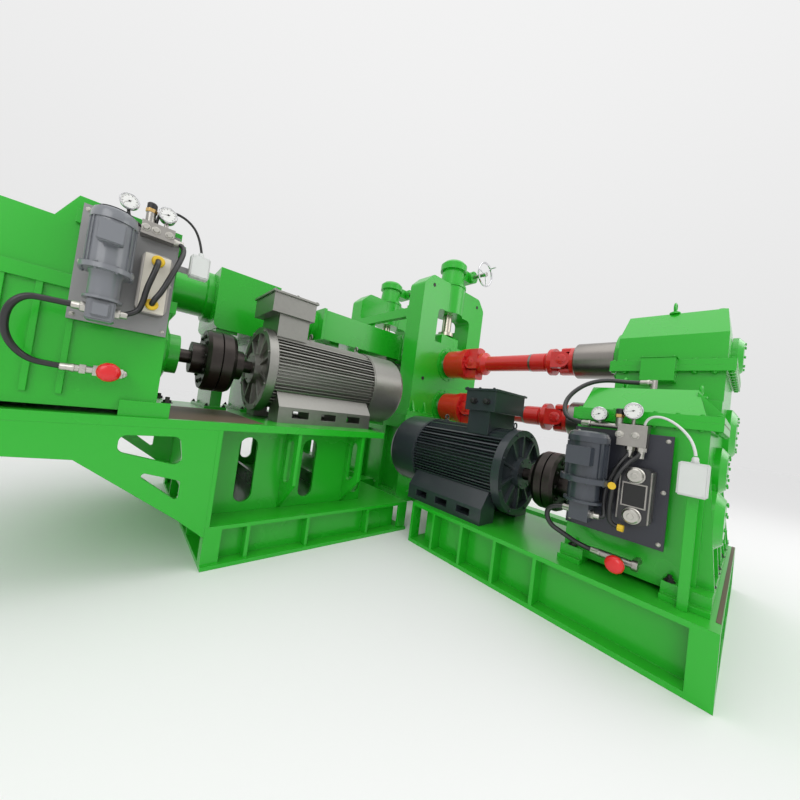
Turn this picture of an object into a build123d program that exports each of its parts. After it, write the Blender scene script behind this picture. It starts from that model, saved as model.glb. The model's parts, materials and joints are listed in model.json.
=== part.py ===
import os
from math import radians, tan

from build123d import *

# Frame: X runs with the stock from extruder to rolls, Y along the rolls, Z up, floor at Z 0
# Fits
RUNNING_FIT = 0.05
SEAT_GAP = 0.3
CLEAR = 8.0

# Rolls
ROLL_R = 280.0
ROLL_FACE = 950.0
ROLL_SHOULDER_R = 190.0
ROLL_SHOULDER_W = 40.0
ROLL_CHAMFER = 8.0
NECK_R = 150.0
NIP = 10.0
UNION_R = 70.0
UNION_L = 88.0
LOWER_Z = 1215.0
UPPER_Z = LOWER_Z + 2 * ROLL_R + NIP
PASS_Z = (LOWER_Z + UPPER_Z) / 2

# Roll stands
STAND_T = 255.0
STAND_HALF_W = 640.0
STAND_TOP_Z = 2860.0
STAND_BEVEL = 140.0
STAND_ROUND = 70.0
STAND_IN = ROLL_FACE / 2 + 80.0
STAND_OUT = STAND_IN + STAND_T
STAND_MID = (STAND_IN + STAND_OUT) / 2
WINDOW_HALF_W = 335.0
WINDOW_TOP_Z = 2480.0
WINDOW_ROUND = 70.0
SCREW_BOSS_R = 196.0
FOOT_T = 50.0
FOOT_REACH = 45.0
FOOT_SIDE = 60.0
FOOT_RIB_SHARE = 0.34
FOOT_RIB_H = 135.0
TIE_Z0 = 2310.0
TIE_H = 115.0
TIE_T = 75.0
TIE_PAD = 30.0

# Bed under the stands
BED_TOP_Z = 1040.0
SADDLE_DEPTH = 60.0
BED_HALF_X = 760.0
BED_OVER = 90.0
PAN_Z = 860.0
PAN_INSET = 60.0
PEDESTAL_LAP = 55.0
PANEL_RECESS = 60.0
PANEL_Z0 = 120.0
PANEL_MARGIN = 160.0

# Chocks
CHOCK_SPLIT_Z = 1480.0
CHOCK_TOP_Z = 2040.0
CHOCK_CHAMFER = 25.0
COVER_R = 226.0
COVER_T = 14.0
LOAD_HALF_W = 176.0
LOAD_HALF_D = 95.0
LOAD_H = 150.0

# Screw-down gear
SCREW_R = 62.0
SCREW_FOOT_R = 105.0
SCREW_FOOT_H = 45.0
COLUMN_R = 168.0
COLUMN_TOP_R = 150.0
COLUMN_H = 245.0
COLUMN_FLANGE_R = 205.0
COLUMN_FLANGE_T = 32.0
CAP_R = 182.0
CAP_H = 125.0
CAP_BEVEL = 38.0
WORM_X = 330.0
WORM_DROP = 90.0
WORM_R = 84.0
WORM_HALF_L = 118.0
WORM_NECK_HALF = 67.2
WORM_NECK_UP = 63.0
CROSS_R = 26.0
CROSS_SHORT = 23.6
CROSS_FLANGE_GAP = 4.0
CROSS_FLANGE_T = 30.0
CROSS_FLANGE_R = 59.8
CROSS_HUB_R = 44.2
CROSS_HUB_HALF = 85.0
CROSS_Z = STAND_TOP_Z + COLUMN_H + CAP_H - WORM_DROP
WHEEL_REACH = 185.0
WHEEL_R = 158.0
WHEEL_RIM_R = 12.0
WHEEL_HUB_R = 32.5
WHEEL_HUB_HALF = 24.0
SPOKES = 3
SPOKE_R = 8.4
SPOKE_TURN = 40.0
GRIP_R = 9.6
GRIP_L = 84.0
GRIP_OUT = 48.0

# Cardan shafts and the output hubs they bolt to
CARDAN_LENGTH = 1583.0
NECK_SHOW = 40.0
SLEEVE_R = 180.0
SLEEVE_L = 245.0
CUP_R = 198.0
CUP_ROOT = 75.0
CUP_L = 205.0
FORK_R = 138.0
FORK_ROOT = 45.0
FORK_TAPER = 42.0
EAR_HALF = 78.0
EAR_GAP = 6.0
YOKE_GAP = 62.0
PIN_DEPTH = 150.0
HUB_PIN_DEPTH = 112.0
EAR_LENGTH = 98.0
EAR_TIP = 24.0
CROSS_PIN_R = 44.0
TUBE_R = 90.0
HUB_R = 168.0
HUB_L = 340.0
HUB_CHAMFER = 12.0
OUTPUT_R = 110.0
OUTPUT_L = 103.0

CARDAN_Y = -(STAND_OUT + COVER_T + NECK_SHOW)
HUB_Y = CARDAN_Y - CARDAN_LENGTH
CASE_Y1 = HUB_Y - HUB_L - OUTPUT_L

# Calender drive: base, gear cases
CASE_DEPTH = 604.0
CASE_Y0 = CASE_Y1 - CASE_DEPTH
BASE_H = 328.0
BASE_X0 = -1344.0
BASE_X1 = 560.0
BASE_LENGTH = 1843.0
BASE_OVER = 100.0
BASE_Y0 = CASE_Y0 - BASE_OVER
BASE_Y1 = BASE_Y0 + BASE_LENGTH
BASE_FLANGE = 28.0
BASE_WEB_IN = 95.0
BASE_ARM_X1 = -500.0
BASE_LEG_Y1 = CASE_Y1 + 70.0
RIB_T = 22.0
RIB_PITCH = 271.0
RIB_FIRST = 0.9
SIDE_RIBS = 4
END_RIBS = 6
FRONT_X0 = -1129.0
CASE_JOINT_X = -520.0
FRONT_SPLIT_Z = 1217.0
FRONT_TOP_Z = 1401.0
FRONT_INSET = 150.0
FRONT_END_INSET = 60.0
REAR_X0 = -440.0
REAR_X1 = 440.0
REAR_SPLIT_Z = 1640.0
REAR_BEND_Z = 1866.0
REAR_TOP_Z = 2062.0
REAR_INSET = 130.0
SPLIT_FLANGE_T = 40.0
SPLIT_FLANGE_W = 45.0
CASE_FOOT_T = 55.0
CASE_FOOT_W = 62.0
PAD_H = 26.0
PAD_OUT = 99.2
SPLIT_END_W = 27.0
FRONT_FLANGE_IN = 22.5
FRONT_RIBS = (60.0, 345.0, 560.0)
FRONT_RIB_DROP = 120.0
FRONT_COVER_IN = 12.0
FRONT_BACK_INSET = 20.0
COVER_FLANGE_T = 32.0
COVER_RIBS = 4
COVER_RIB_X = 125.0
COVER_RIB_PITCH = 145.0
COVER_RIB_T = 17.6
COVER_RIB_LIP = 31.5
COVER_RIB_STEP = 26.0
COVER_RIB_DROP = 14.0
REAR_FLANGE_IN = 36.0
REAR_RIBS = 4
REAR_RIB_X = 130.0
REAR_RIB_PITCH = 240.0
REAR_RIB_H = 480.0
SIDE_RIB_IN = 110.0
SIDE_RIB_TOP = 20.0
REAR_END_INSET = 25.0
OUTPUT_BOSS_R = 228.0
COVER_DISH = 0.76
LOWER_COVER_R = 182.0
UPPER_COVER_R = 141.0
END_COVER_L = 60.0
WALL_BOX_Y = -3255.0
WALL_BOX_W = 190.0
WALL_BOX_OUT = 78.0
WALL_BOX_DROP = 80.0
INPUT_COVER_R = 150.0
INPUT_COVER_L = 45.0
INPUT_END_L = 70.0
SECOND_COVER_R = 135.0
SECOND_COVER_L = 35.0
SECOND_END_L = 55.0
SECOND_DX = 245.0
SECOND_DZ = 250.0
INPUT_BORE_L = 60.0
OUTPUT_BOSS_L = 85.0

# Both motors: counts, and shares of the frame's radius
FIN_COUNT = 11
TOP_FINS = 5
FIN_T = 10.0
FIN_R = 0.975
CORE_R = 0.885
SHIELD_RIBS = 10
COWL_SPOKES = 6
FOOT_BAYS = 4
BOX_LID_T = 16.0
BOX_LID_LIP = 14.0
BOX_FOOT_SHARE = 0.86

# Calender motor, laid along Y
MOTOR_B_X = -925.0
MOTOR_B_Z = 723.0
MOTOR_B_R = 328.0
MOTOR_B_FRAME = 885.0
MOTOR_B_COWL = 322.0
MOTOR_B_SHAFT_R = 45.0
MOTOR_B_SPAN = 434.0
MOTOR_B_Y = CASE_Y1 + MOTOR_B_SPAN
MOTOR_B_FOOT_HALF = 354.0
COUPLING_B_R = 203.0
COUPLING_B_W = 150.0
COUPLING_B_OFF = 190.0
COUPLING_GAP = 4.0
COUPLING_STEP = 12.0
HUB_SHARE = 0.5
HUB_REACH = 1.8
SHAFT_IN = 25.0
BOX_B_Y0 = 155.0
BOX_B_L = 275.0
BOX_B_HALF = 229.0
BOX_B_TOP = 618.0
BOX_B_NECK = 440.0

# Extruder drive: base, trestle, deck
DECK_Z = 870.0
DECK_T = 48.0
DECK_X0 = -3960.0
DECK_X1 = -1580.0
DECK_Y0 = -1541.0
DECK_Y1 = 480.0
EXT_BASE_H = 248.0
EXT_BASE_X0 = -2840.0
EXT_BASE_X1 = -1199.0
EXT_BASE_Y0 = -1559.0
EXT_BASE_Y1 = 440.0
EXT_WEB_IN = 95.0
EXT_TOP_IN = 20.0
EXT_RIBS = (250.0, 660.0, 1200.0)
EXT_END_RIBS = 5
WEB_SET_BACK = 235.0
PLATE_T = 24.0
GUSSET_DROP = 360.0
SLOT_R = 58.0
SLOT_H = 330.0
SLOT_PITCH = 460.0
SLOTS = 3
SLOT_X = 225.0
GUSSET_XS = (490.0, 1030.0)
GUSSET_IN = 8.0
GUSSET_RIM = 55.0
GUSSET_TOP_RIM = 60.0
GUSSET_LOW_RIM = 35.0
GUSSET_WEB_RIM = 50.0
GUSSET_HOLE_LEAN = 60.0
BULKHEAD_SIDE = 200.0
BULKHEAD_RIM = 110.0
BULKHEAD_ROUND = 102.0
BRACKET_IN = 20.0
BRACKET_TIP = 40.0
BRACKET_ROOT = 60.0
BRACKET_LOW_Z = 652.0
BRACKET_REACH = 590.0
BRACKET_MID_Z = 313.0
BRACKET_MID = 145.0
HOLE_ROUND = 34.0
HOLE_MARGIN = 155.0
HOLE_L = 285.0
HOLE_LEAN = 30.0
HOLE_DROP = 45.0
HOLE_H = 165.0
HOLE_SMALL_H = 85.0
STRUT_W = 80.0
LOWER_HOLE_L = 225.0
LOWER_HOLE_RISE = 66.0
LOWER_HOLE_H = 115.0
LOWER_HOLE_ROUND = 14.0

# Extruder motor, laid along X
MOTOR_A_Y = -891.0
MOTOR_A_Z = 1266.0
MOTOR_A_R = 342.0
MOTOR_A_FRAME = 1000.0
MOTOR_A_COWL = 367.0
MOTOR_A_SHAFT_R = 48.0
MOTOR_A_X = -2505.0
MOTOR_A_FOOT_HALF = 378.0
COUPLING_A_R = 225.0
COUPLING_A_W = 190.0
COUPLING_A_OFF = 280.0
BOX_A_X0 = 5.0
BOX_A_L = 352.0
BOX_A_HALF = 222.0
BOX_A_TOP = 621.0
BOX_A_NECK = 455.0

# Extruder gear case
GEAR_X0 = -3900.0
GEAR_X1 = -3150.0
GEAR_Y0 = -1480.0
GEAR_Y1 = 430.0
GEAR_TOP_Z = 1880.0
GEAR_SPLIT_Z = 1480.0
GEAR_LID_H = 90.0
LID_END = 70.0
LID_SIDE = 300.0
LID_BACK = 20.0
GEAR_STEP_X = -3550.0
GEAR_STEP_SLOPE = 68.0
GEAR_LOW_Z = 1755.0
GEAR_FLANGE_W = 22.0
GEAR_FLANGE_UP = 24.0
GEAR_FOOT_L = 150.0
GEAR_FOOT_OUT = 25.0
GEAR_RIBS = 4
GEAR_RIB_PITCH = 110.0
GEAR_RIB_H = 16.0
NOSE_R = 190.0
NOSE_TIP_R = 135.0
NOSE_L = 120.0
NOSE_BORE_L = 40.0
THRUST_HALF = 330.0
THRUST_TOP_Z = 2200.0

# Extruder barrel line
BARREL_Z = 1930.0
BARREL_R = 150.0
BARREL_FLANGE_R = 210.0
BARREL_FLANGE_T = 48.0
THRUST_R = 250.0
THRUST_L = 60.0
THRUST_TAPER = 30.0
THRUST_NECK_R = 200.0
THRUST_FLANGE_R = 237.5
THRUST_FLANGE_T = 50.0
THRUST_STEP = 10.0
THROAT_X0 = -2750.0
THROAT_X1 = -2206.0
THROAT_HALF = 376.0
THROAT_Z0 = 1600.0
THROAT_TOP_Z = 2150.0
THROAT_WALL = 45.0
THROAT_ROUND = 60.0
THROAT_FLOOR_UP = 75.0
POST_IN = 120.0
POST_HALF = 45.0
POST_SIDE_IN = 60.0
POST_FOOT_HALF = 90.0
POST_FOOT_IN = 20.0
SHROUD_X0 = -1681.0
SHROUD_X1 = -453.0
SHROUD_HALF = 308.0
SHROUD_Z0 = 1775.0
SHROUD_TOP_Z = 2110.0
SHROUD_EDGE_W = 34.0
SHROUD_EDGE_OUT = 14.0
SHROUD_EDGE_DOWN = 10.0
CHUTE_T = 12.0
CHUTE_HALF = 250.0
CHUTE_TIP = -165.0
CHUTE_IN = 40.0
CHUTE_SEAT_L = 160.0
CHUTE_SEAT_T = 30.0
CHUTE_DROP = 40.0
CHUTE_HEEL_IN = 30.0
CHUTE_HEEL_DROP = 50.0
CHUTE_TIP_SHARE = 0.6
PROP_X = -1500.0
PROP_W = 120.0
PROP_HALF = 210.0
PROP_POST_W = 70.0
PROP_SILL = 160.0
PROP_HEAD = 140.0

# Lubrication sets
PANEL_T = 16.0
PANEL_STAND_OFF = 55.0
PANEL_B_Y1 = -2905.0
PANEL_B_W = 465.0
PANEL_B_Z0 = 548.0
PANEL_B_H = 580.0
PUMP_B_R = 96.0
PUMP_B_IN = 118.0
PUMP_B_DROP = 25.0
ARM_HALF_T = 12.0
STUD_R = 16.0
STUD_IN_Y = 70.0
STUD_IN_Z = 80.0
COOLER_B_IN = 60.0
COOLER_B_RISE = 110.0
COOLER_B_D = 95.0
COOLER_B_W = 130.0
COOLER_B_H = 290.0
COOLER_B_ROUND = 30.0
PORT_B_R = 27.0
PORT_IN = 42.0
PORT_OUT = 27.0
JUNCTION_B_W = 124.0
JUNCTION_B_D = 75.0
JUNCTION_B_Z0 = 858.0
JUNCTION_B_Z1 = 1020.0
JUNCTION_B_ROUND = 12.0
JUNCTION_B_GAP = 30.0
JUNCTION_B_BACK = 60.0
GLAND_B_R = 13.0
GLAND_B_L = 28.0
POST_B_T = 26.0
POST_B_W = 40.0
POST_B_Z1 = 1000.0
PANEL_A_X0 = -3530.0
PANEL_A_W = 372.0
PANEL_A_Z0 = 1302.0
PANEL_A_H = 540.0
PUMP_A_R = 108.0
PUMP_A_IN = 85.0
PUMP_A_RISE = 8.0
COOLER_A_IN = 22.0
COOLER_A_RISE = 92.0
COOLER_A_D = 85.0
COOLER_A_W = 120.0
COOLER_A_H = 300.0
COOLER_A_ROUND = 28.0
PORT_A_R = 25.0
PORT_A_OUT = 25.0
HOSE_R = 14.0
LINK_H = 150.0
LINK_W = 150.0
LINK_XS = (-480.0, 330.0)
LINK_YS = (-380.0, 230.0)


def block(x0, x1, y0, y1, z0, z1):
    middle = Pos((x0 + x1) / 2, (y0 + y1) / 2, (z0 + z1) / 2)
    return middle * Box(abs(x1 - x0), abs(y1 - y0), abs(z1 - z0))


def rod_x(y, z, r, x0, x1):
    return Pos((x0 + x1) / 2, y, z) * Rot(0, 90, 0) * Cylinder(r, abs(x1 - x0))


def rod_y(x, z, r, y0, y1):
    return Pos(x, (y0 + y1) / 2, z) * Rot(90, 0, 0) * Cylinder(r, abs(y1 - y0))


def rod_z(x, y, r, z0, z1):
    return Pos(x, y, (z0 + z1) / 2) * Cylinder(r, abs(z1 - z0))


def slab_x(points, x0, x1):
    outline = Polyline([(x0, y, z) for y, z in points], close=True)
    return extrude(make_face(outline), amount=x1 - x0, dir=(1, 0, 0))


def slab_y(points, y0, y1):
    outline = Polyline([(x, y0, z) for x, z in points], close=True)
    return extrude(make_face(outline), amount=y1 - y0, dir=(0, 1, 0))


def slab_z(points, z0, z1):
    outline = Polyline([(x, y, z0) for x, y in points], close=True)
    return extrude(make_face(outline), amount=z1 - z0, dir=(0, 0, 1))


def turned_x(y, z, profile):
    outline = Polyline([(x, y, z + r) for r, x in profile], close=True)
    return revolve(make_face(outline), Axis((0, y, z), (1, 0, 0)))


def turned_y(x, z, profile):
    outline = Polyline([(x + r, y, z) for r, y in profile], close=True)
    return revolve(make_face(outline), Axis((x, 0, z), (0, 1, 0)))


def turned_z(x, y, profile):
    outline = Polyline([(x + r, y, z) for r, z in profile], close=True)
    return revolve(make_face(outline), Axis((x, y, 0), (0, 0, 1)))


def hipped(x0, x1, y0, y1, z0, z1, in_x0, in_x1, in_y0, in_y1):
    low = Pos((x0 + x1) / 2, (y0 + y1) / 2, z0) * Rectangle(x1 - x0, y1 - y0)
    tx0 = x0 + in_x0
    tx1 = x1 - in_x1
    ty0 = y0 + in_y0
    ty1 = y1 - in_y1
    high = Pos((tx0 + tx1) / 2, (ty0 + ty1) / 2, z1) * Rectangle(tx1 - tx0, ty1 - ty0)
    return loft([low, high])


def rounded(points, radius, y0, y1):
    face = make_face(Polyline([(x, y0, z) for x, z in points], close=True))
    face = fillet(face.vertices(), radius)
    return extrude(face, amount=y1 - y0, dir=(0, 1, 0))


def low_high(a, b):
    return min(a, b), max(a, b)


nodes = {}


# Bed: a pedestal under each stand and a low pan between them
def pedestal(side):
    inner = side * (STAND_IN - PEDESTAL_LAP)
    outer = side * (STAND_OUT + BED_OVER)
    y0, y1 = low_high(inner, outer)
    body = block(-BED_HALF_X, BED_HALF_X, y0, y1, 0, BED_TOP_Z)
    body -= block(-WINDOW_HALF_W, WINDOW_HALF_W, y0, y1, BED_TOP_Z - SADDLE_DEPTH, BED_TOP_Z)
    panel_top = BED_TOP_Z - PANEL_MARGIN
    bay = BED_HALF_X - PANEL_MARGIN
    for s in (-1, 1):
        x0, x1 = low_high(s * PANEL_RECESS, s * bay)
        body -= block(x0, x1, outer - side * PANEL_RECESS, outer, PANEL_Z0, panel_top)
        x0, x1 = low_high(s * (BED_HALF_X - PANEL_RECESS), s * BED_HALF_X)
        body -= block(x0, x1, y0 + PANEL_RECESS, y1 - PANEL_RECESS, PANEL_Z0, panel_top)
    return body


nodes["stand_pedestals"] = pedestal(-1) + pedestal(1)

pan_half = STAND_IN - PEDESTAL_LAP
pan_x = BED_HALF_X - PAN_INSET
pan = block(-pan_x, pan_x, -pan_half, pan_half, 0, PAN_Z)
for s in (-1, 1):
    for t in (-1, 1):
        x0, x1 = low_high(s * (pan_x - PANEL_RECESS), s * pan_x)
        y0, y1 = low_high(t * PANEL_RECESS, t * (pan_half - PANEL_RECESS))
        pan -= block(x0, x1, y0, y1, PANEL_Z0, PAN_Z - PANEL_RECESS)
nodes["bed_pan"] = pan


# Stands: a rounded frame open at the foot, with a boss for the screw and a flanged foot on each leg
def stand(side):
    y0, y1 = low_high(side * STAND_IN, side * STAND_OUT)
    mid = side * STAND_MID
    w = STAND_HALF_W
    shoulder_z = STAND_TOP_Z - STAND_BEVEL
    outline = [
        (-w, BED_TOP_Z),
        (-w, shoulder_z),
        (-w + STAND_BEVEL, STAND_TOP_Z),
        (w - STAND_BEVEL, STAND_TOP_Z),
        (w, shoulder_z),
        (w, BED_TOP_Z),
    ]
    body = slab_y(outline, y0, y1)
    corners = body.edges().filter_by(Axis.Y).sort_by(Axis.Z)[-4:]
    body = fillet(corners, STAND_ROUND)
    window = block(-WINDOW_HALF_W, WINDOW_HALF_W, y0 - 1, y1 + 1, BED_TOP_Z - 1, WINDOW_TOP_Z)
    body -= fillet(window.edges().filter_by(Axis.Y).sort_by(Axis.Z)[-2:], WINDOW_ROUND)
    body += rod_z(0, mid, SCREW_BOSS_R, WINDOW_TOP_Z, STAND_TOP_Z)
    for leg in (-1, 1):
        x0, x1 = low_high(leg * WINDOW_HALF_W, leg * (w + FOOT_SIDE))
        body += block(x0, x1, y0 - FOOT_REACH, y1 + FOOT_REACH, BED_TOP_Z, BED_TOP_Z + FOOT_T)
        for t in (-FOOT_RIB_SHARE, FOOT_RIB_SHARE):
            x = leg * ((WINDOW_HALF_W + w) / 2 + t * (w - WINDOW_HALF_W))
            low = BED_TOP_Z + FOOT_T
            top = low + FOOT_RIB_H
            a = x - PLATE_T / 2
            b = x + PLATE_T / 2
            rib = slab_x([(y0, low), (y0, top), (y0 - FOOT_REACH, low)], a, b)
            rib += slab_x([(y1, low), (y1 + FOOT_REACH, low), (y1, top)], a, b)
            body += rib
    body -= rod_z(0, mid, SCREW_R + SEAT_GAP, WINDOW_TOP_Z - 1, STAND_TOP_Z + 1)
    return body


nodes["near_stand"] = stand(-1)
nodes["far_stand"] = stand(1)


# Chocks: bearing blocks in the windows, the upper one under a load block
def chock(side, axis_z, z0, z1):
    y0, y1 = low_high(side * STAND_IN, side * STAND_OUT)
    body = block(-WINDOW_HALF_W, WINDOW_HALF_W, y0, y1, z0, z1)
    outer = side * STAND_OUT
    body += rod_y(0, axis_z, COVER_R, outer, outer + side * COVER_T)
    body -= rod_y(0, axis_z, NECK_R + RUNNING_FIT, y0 - 2 * COVER_T, y1 + 2 * COVER_T)
    return body


def upper_chock(side):
    mid = side * STAND_MID
    y0 = mid - LOAD_HALF_D
    y1 = mid + LOAD_HALF_D
    load = block(-LOAD_HALF_W, LOAD_HALF_W, y0, y1, CHOCK_TOP_Z, CHOCK_TOP_Z + LOAD_H)
    load = chamfer(load.edges().group_by(Axis.Z)[-1], CHOCK_CHAMFER)
    return chock(side, UPPER_Z, CHOCK_SPLIT_Z, CHOCK_TOP_Z) + load


saddle_z = BED_TOP_Z - SADDLE_DEPTH
near_chock = chock(-1, LOWER_Z, saddle_z, CHOCK_SPLIT_Z)
far_chock = chock(1, LOWER_Z, saddle_z, CHOCK_SPLIT_Z)
nodes["lower_chocks"] = near_chock + far_chock
nodes["upper_chocks"] = upper_chock(-1) + upper_chock(1)

# Screws and the columns that house their nuts and worm gears
screws = None
for side in (-1, 1):
    z0 = CHOCK_TOP_Z + LOAD_H
    profile = [
        (0, z0),
        (SCREW_FOOT_R, z0),
        (SCREW_FOOT_R, z0 + SCREW_FOOT_H),
        (SCREW_R, z0 + SCREW_FOOT_H),
        (SCREW_R, STAND_TOP_Z),
        (0, STAND_TOP_Z),
    ]
    screw = turned_z(0, side * STAND_MID, profile)
    screws = screw if screws is None else screws + screw
nodes["adjusting_screws"] = screws


def screw_column(side):
    mid = side * STAND_MID
    top = STAND_TOP_Z + COLUMN_H
    profile = [
        (0, STAND_TOP_Z),
        (COLUMN_FLANGE_R, STAND_TOP_Z),
        (COLUMN_FLANGE_R, STAND_TOP_Z + COLUMN_FLANGE_T),
        (COLUMN_R, STAND_TOP_Z + COLUMN_FLANGE_T),
        (COLUMN_TOP_R, top),
        (CAP_R, top),
        (CAP_R, top + CAP_H - CAP_BEVEL),
        (CAP_R - CAP_BEVEL, top + CAP_H),
        (0, top + CAP_H),
    ]
    column = turned_z(0, mid, profile)
    neck_y0 = mid - WORM_NECK_HALF
    neck_y1 = mid + WORM_NECK_HALF
    neck = block(0, WORM_X, neck_y0, neck_y1, CROSS_Z - WORM_R, CROSS_Z + WORM_NECK_UP)
    worm_box = rod_y(WORM_X, CROSS_Z, WORM_R, mid - WORM_HALF_L, mid + WORM_HALF_L)
    column += neck + worm_box
    bore = rod_y(WORM_X, CROSS_Z, CROSS_R + RUNNING_FIT, mid - 2 * WORM_HALF_L, mid + 2 * WORM_HALF_L)
    return column - bore


nodes["screw_columns"] = screw_column(-1) + screw_column(1)

beams = None
for s in (-1, 1):
    x0, x1 = low_high(s * STAND_HALF_W, s * (STAND_HALF_W - TIE_T))
    beam = block(x0, x1, -STAND_IN, STAND_IN, TIE_Z0, TIE_Z0 + TIE_H)
    for side in (-1, 1):
        y0, y1 = low_high(side * STAND_IN, side * (STAND_IN - PLATE_T))
        grow = TIE_PAD
        pad_x0, pad_x1 = low_high(s * STAND_HALF_W, s * (STAND_HALF_W - TIE_T - grow))
        beam += block(pad_x0, pad_x1, y0, y1, TIE_Z0 - grow, TIE_Z0 + TIE_H + grow)
    beams = beam if beams is None else beams + beam
nodes["tie_beams"] = beams

# Cross shaft of the screw-down gear, with its flange coupling and hand wheel
wheel_y = -(STAND_MID + WORM_HALF_L + WHEEL_REACH)
hub_half = WHEEL_HUB_HALF
cross_end = STAND_MID + WORM_HALF_L - CROSS_SHORT
cross = rod_y(WORM_X, CROSS_Z, CROSS_R, wheel_y - hub_half, cross_end)
joint_y = STAND_IN - WORM_HALF_L
for k in (-1, 1):
    flange_y = joint_y + k * CROSS_FLANGE_GAP
    cross += rod_y(WORM_X, CROSS_Z, CROSS_FLANGE_R, flange_y, flange_y + k * CROSS_FLANGE_T)
cross += rod_y(WORM_X, CROSS_Z, CROSS_HUB_R, joint_y - CROSS_HUB_HALF, joint_y + CROSS_HUB_HALF)
nodes["cross_shaft"] = cross

wheel = turned_y(
    WORM_X,
    CROSS_Z,
    [
        (WHEEL_R - WHEEL_RIM_R, wheel_y - WHEEL_RIM_R * 0.5),
        (WHEEL_R - WHEEL_RIM_R * 0.5, wheel_y - WHEEL_RIM_R),
        (WHEEL_R + WHEEL_RIM_R * 0.5, wheel_y - WHEEL_RIM_R),
        (WHEEL_R + WHEEL_RIM_R, wheel_y - WHEEL_RIM_R * 0.5),
        (WHEEL_R + WHEEL_RIM_R, wheel_y + WHEEL_RIM_R * 0.5),
        (WHEEL_R + WHEEL_RIM_R * 0.5, wheel_y + WHEEL_RIM_R),
        (WHEEL_R - WHEEL_RIM_R * 0.5, wheel_y + WHEEL_RIM_R),
        (WHEEL_R - WHEEL_RIM_R, wheel_y + WHEEL_RIM_R * 0.5),
    ],
)
wheel += rod_y(WORM_X, CROSS_Z, WHEEL_HUB_R, wheel_y - hub_half, wheel_y + hub_half)
for k in range(SPOKES):
    turn = 360 / SPOKES * k + SPOKE_TURN
    spoke = Rot(0, turn, 0) * Pos(0, 0, WHEEL_R / 2) * Cylinder(SPOKE_R, WHEEL_R)
    wheel += Pos(WORM_X, wheel_y, CROSS_Z) * spoke
grip = Rot(0, SPOKE_TURN, 0) * Pos(0, -GRIP_OUT, WHEEL_R) * Rot(90, 0, 0)
wheel += Pos(WORM_X, wheel_y, CROSS_Z) * grip * Cylinder(GRIP_R, GRIP_L)
wheel -= rod_y(WORM_X, CROSS_Z, CROSS_R, wheel_y - hub_half, wheel_y + hub_half + 1)
nodes["hand_wheel"] = wheel


# Rolls: chilled barrel, shoulders and necks
def roll(axis_z):
    half = ROLL_FACE / 2
    profile = [
        (0, CARDAN_Y),
        (NECK_R, CARDAN_Y),
        (NECK_R, -half - ROLL_SHOULDER_W),
        (ROLL_SHOULDER_R, -half - ROLL_SHOULDER_W),
        (ROLL_SHOULDER_R, -half),
        (ROLL_R - ROLL_CHAMFER, -half),
        (ROLL_R, -half + ROLL_CHAMFER),
        (ROLL_R, half - ROLL_CHAMFER),
        (ROLL_R - ROLL_CHAMFER, half),
        (ROLL_SHOULDER_R, half),
        (ROLL_SHOULDER_R, half + ROLL_SHOULDER_W),
        (NECK_R, half + ROLL_SHOULDER_W),
        (NECK_R, -CARDAN_Y),
        (UNION_R, -CARDAN_Y),
        (UNION_R, -CARDAN_Y + UNION_L),
        (0, -CARDAN_Y + UNION_L),
    ]
    return turned_y(0, axis_z, profile)


# Ears of a yoke at the two sides of its pin, round at the tip
def side_ears(pin_y, root_y):
    y0, y1 = low_high(pin_y, root_y)
    pair = None
    for s in (-1, 1):
        x0, x1 = low_high(s * YOKE_GAP, s * FORK_R)
        ear = block(x0, x1, y0, y1, -EAR_HALF, EAR_HALF) + rod_x(pin_y, 0, EAR_HALF, x0, x1)
        pair = ear if pair is None else pair + ear
    return pair


# Ears above and below the pin, cut from a round cup
def cup_ears(r, root_y, tip_y):
    y0, y1 = low_high(root_y, tip_y)
    gap = EAR_HALF + EAR_GAP
    cup = rod_y(0, 0, r, y0, y1) & block(-EAR_HALF, EAR_HALF, y0, y1, -r, r)
    return cup - block(-EAR_HALF, EAR_HALF, y0, y1, -gap, gap)


def cross_pins(pin_y, upright_r):
    across = FORK_R - EAR_GAP
    upright = upright_r - EAR_GAP
    return rod_x(pin_y, 0, CROSS_PIN_R, -across, across) + rod_z(0, pin_y, CROSS_PIN_R, -upright, upright)


# Cardan shaft: sleeve and cup yoke on the roll neck, tube between two forks, yoke flange on the output hub
def cardan(axis_z):
    sleeve_y = CARDAN_Y - SLEEVE_L
    root_y = sleeve_y - CUP_ROOT
    sleeve = [
        (0, CARDAN_Y),
        (SLEEVE_R, CARDAN_Y),
        (SLEEVE_R, sleeve_y),
        (CUP_R, sleeve_y),
        (CUP_R, root_y),
        (0, root_y),
    ]
    body = turned_y(0, 0, sleeve)
    body += cup_ears(CUP_R, root_y, sleeve_y - CUP_L)
    near_pin = sleeve_y - PIN_DEPTH
    near_fork = near_pin - EAR_LENGTH
    body += side_ears(near_pin, near_fork)
    body += cross_pins(near_pin, CUP_R)
    far_pin = HUB_Y + HUB_PIN_DEPTH
    far_fork = far_pin + EAR_LENGTH
    body += rod_y(0, 0, FORK_R, HUB_Y, HUB_Y + FORK_ROOT)
    body += cup_ears(FORK_R, HUB_Y + FORK_ROOT, far_pin + EAR_TIP)
    body += side_ears(far_pin, far_fork)
    body += cross_pins(far_pin, FORK_R)
    tube = [
        (0, near_fork),
        (FORK_R, near_fork),
        (FORK_R, near_fork - FORK_ROOT),
        (TUBE_R, near_fork - FORK_ROOT - FORK_TAPER),
        (TUBE_R, far_fork + FORK_ROOT + FORK_TAPER),
        (FORK_R, far_fork + FORK_ROOT),
        (FORK_R, far_fork),
        (0, far_fork),
    ]
    body += turned_y(0, 0, tube)
    return Pos(0, 0, axis_z) * body


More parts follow.
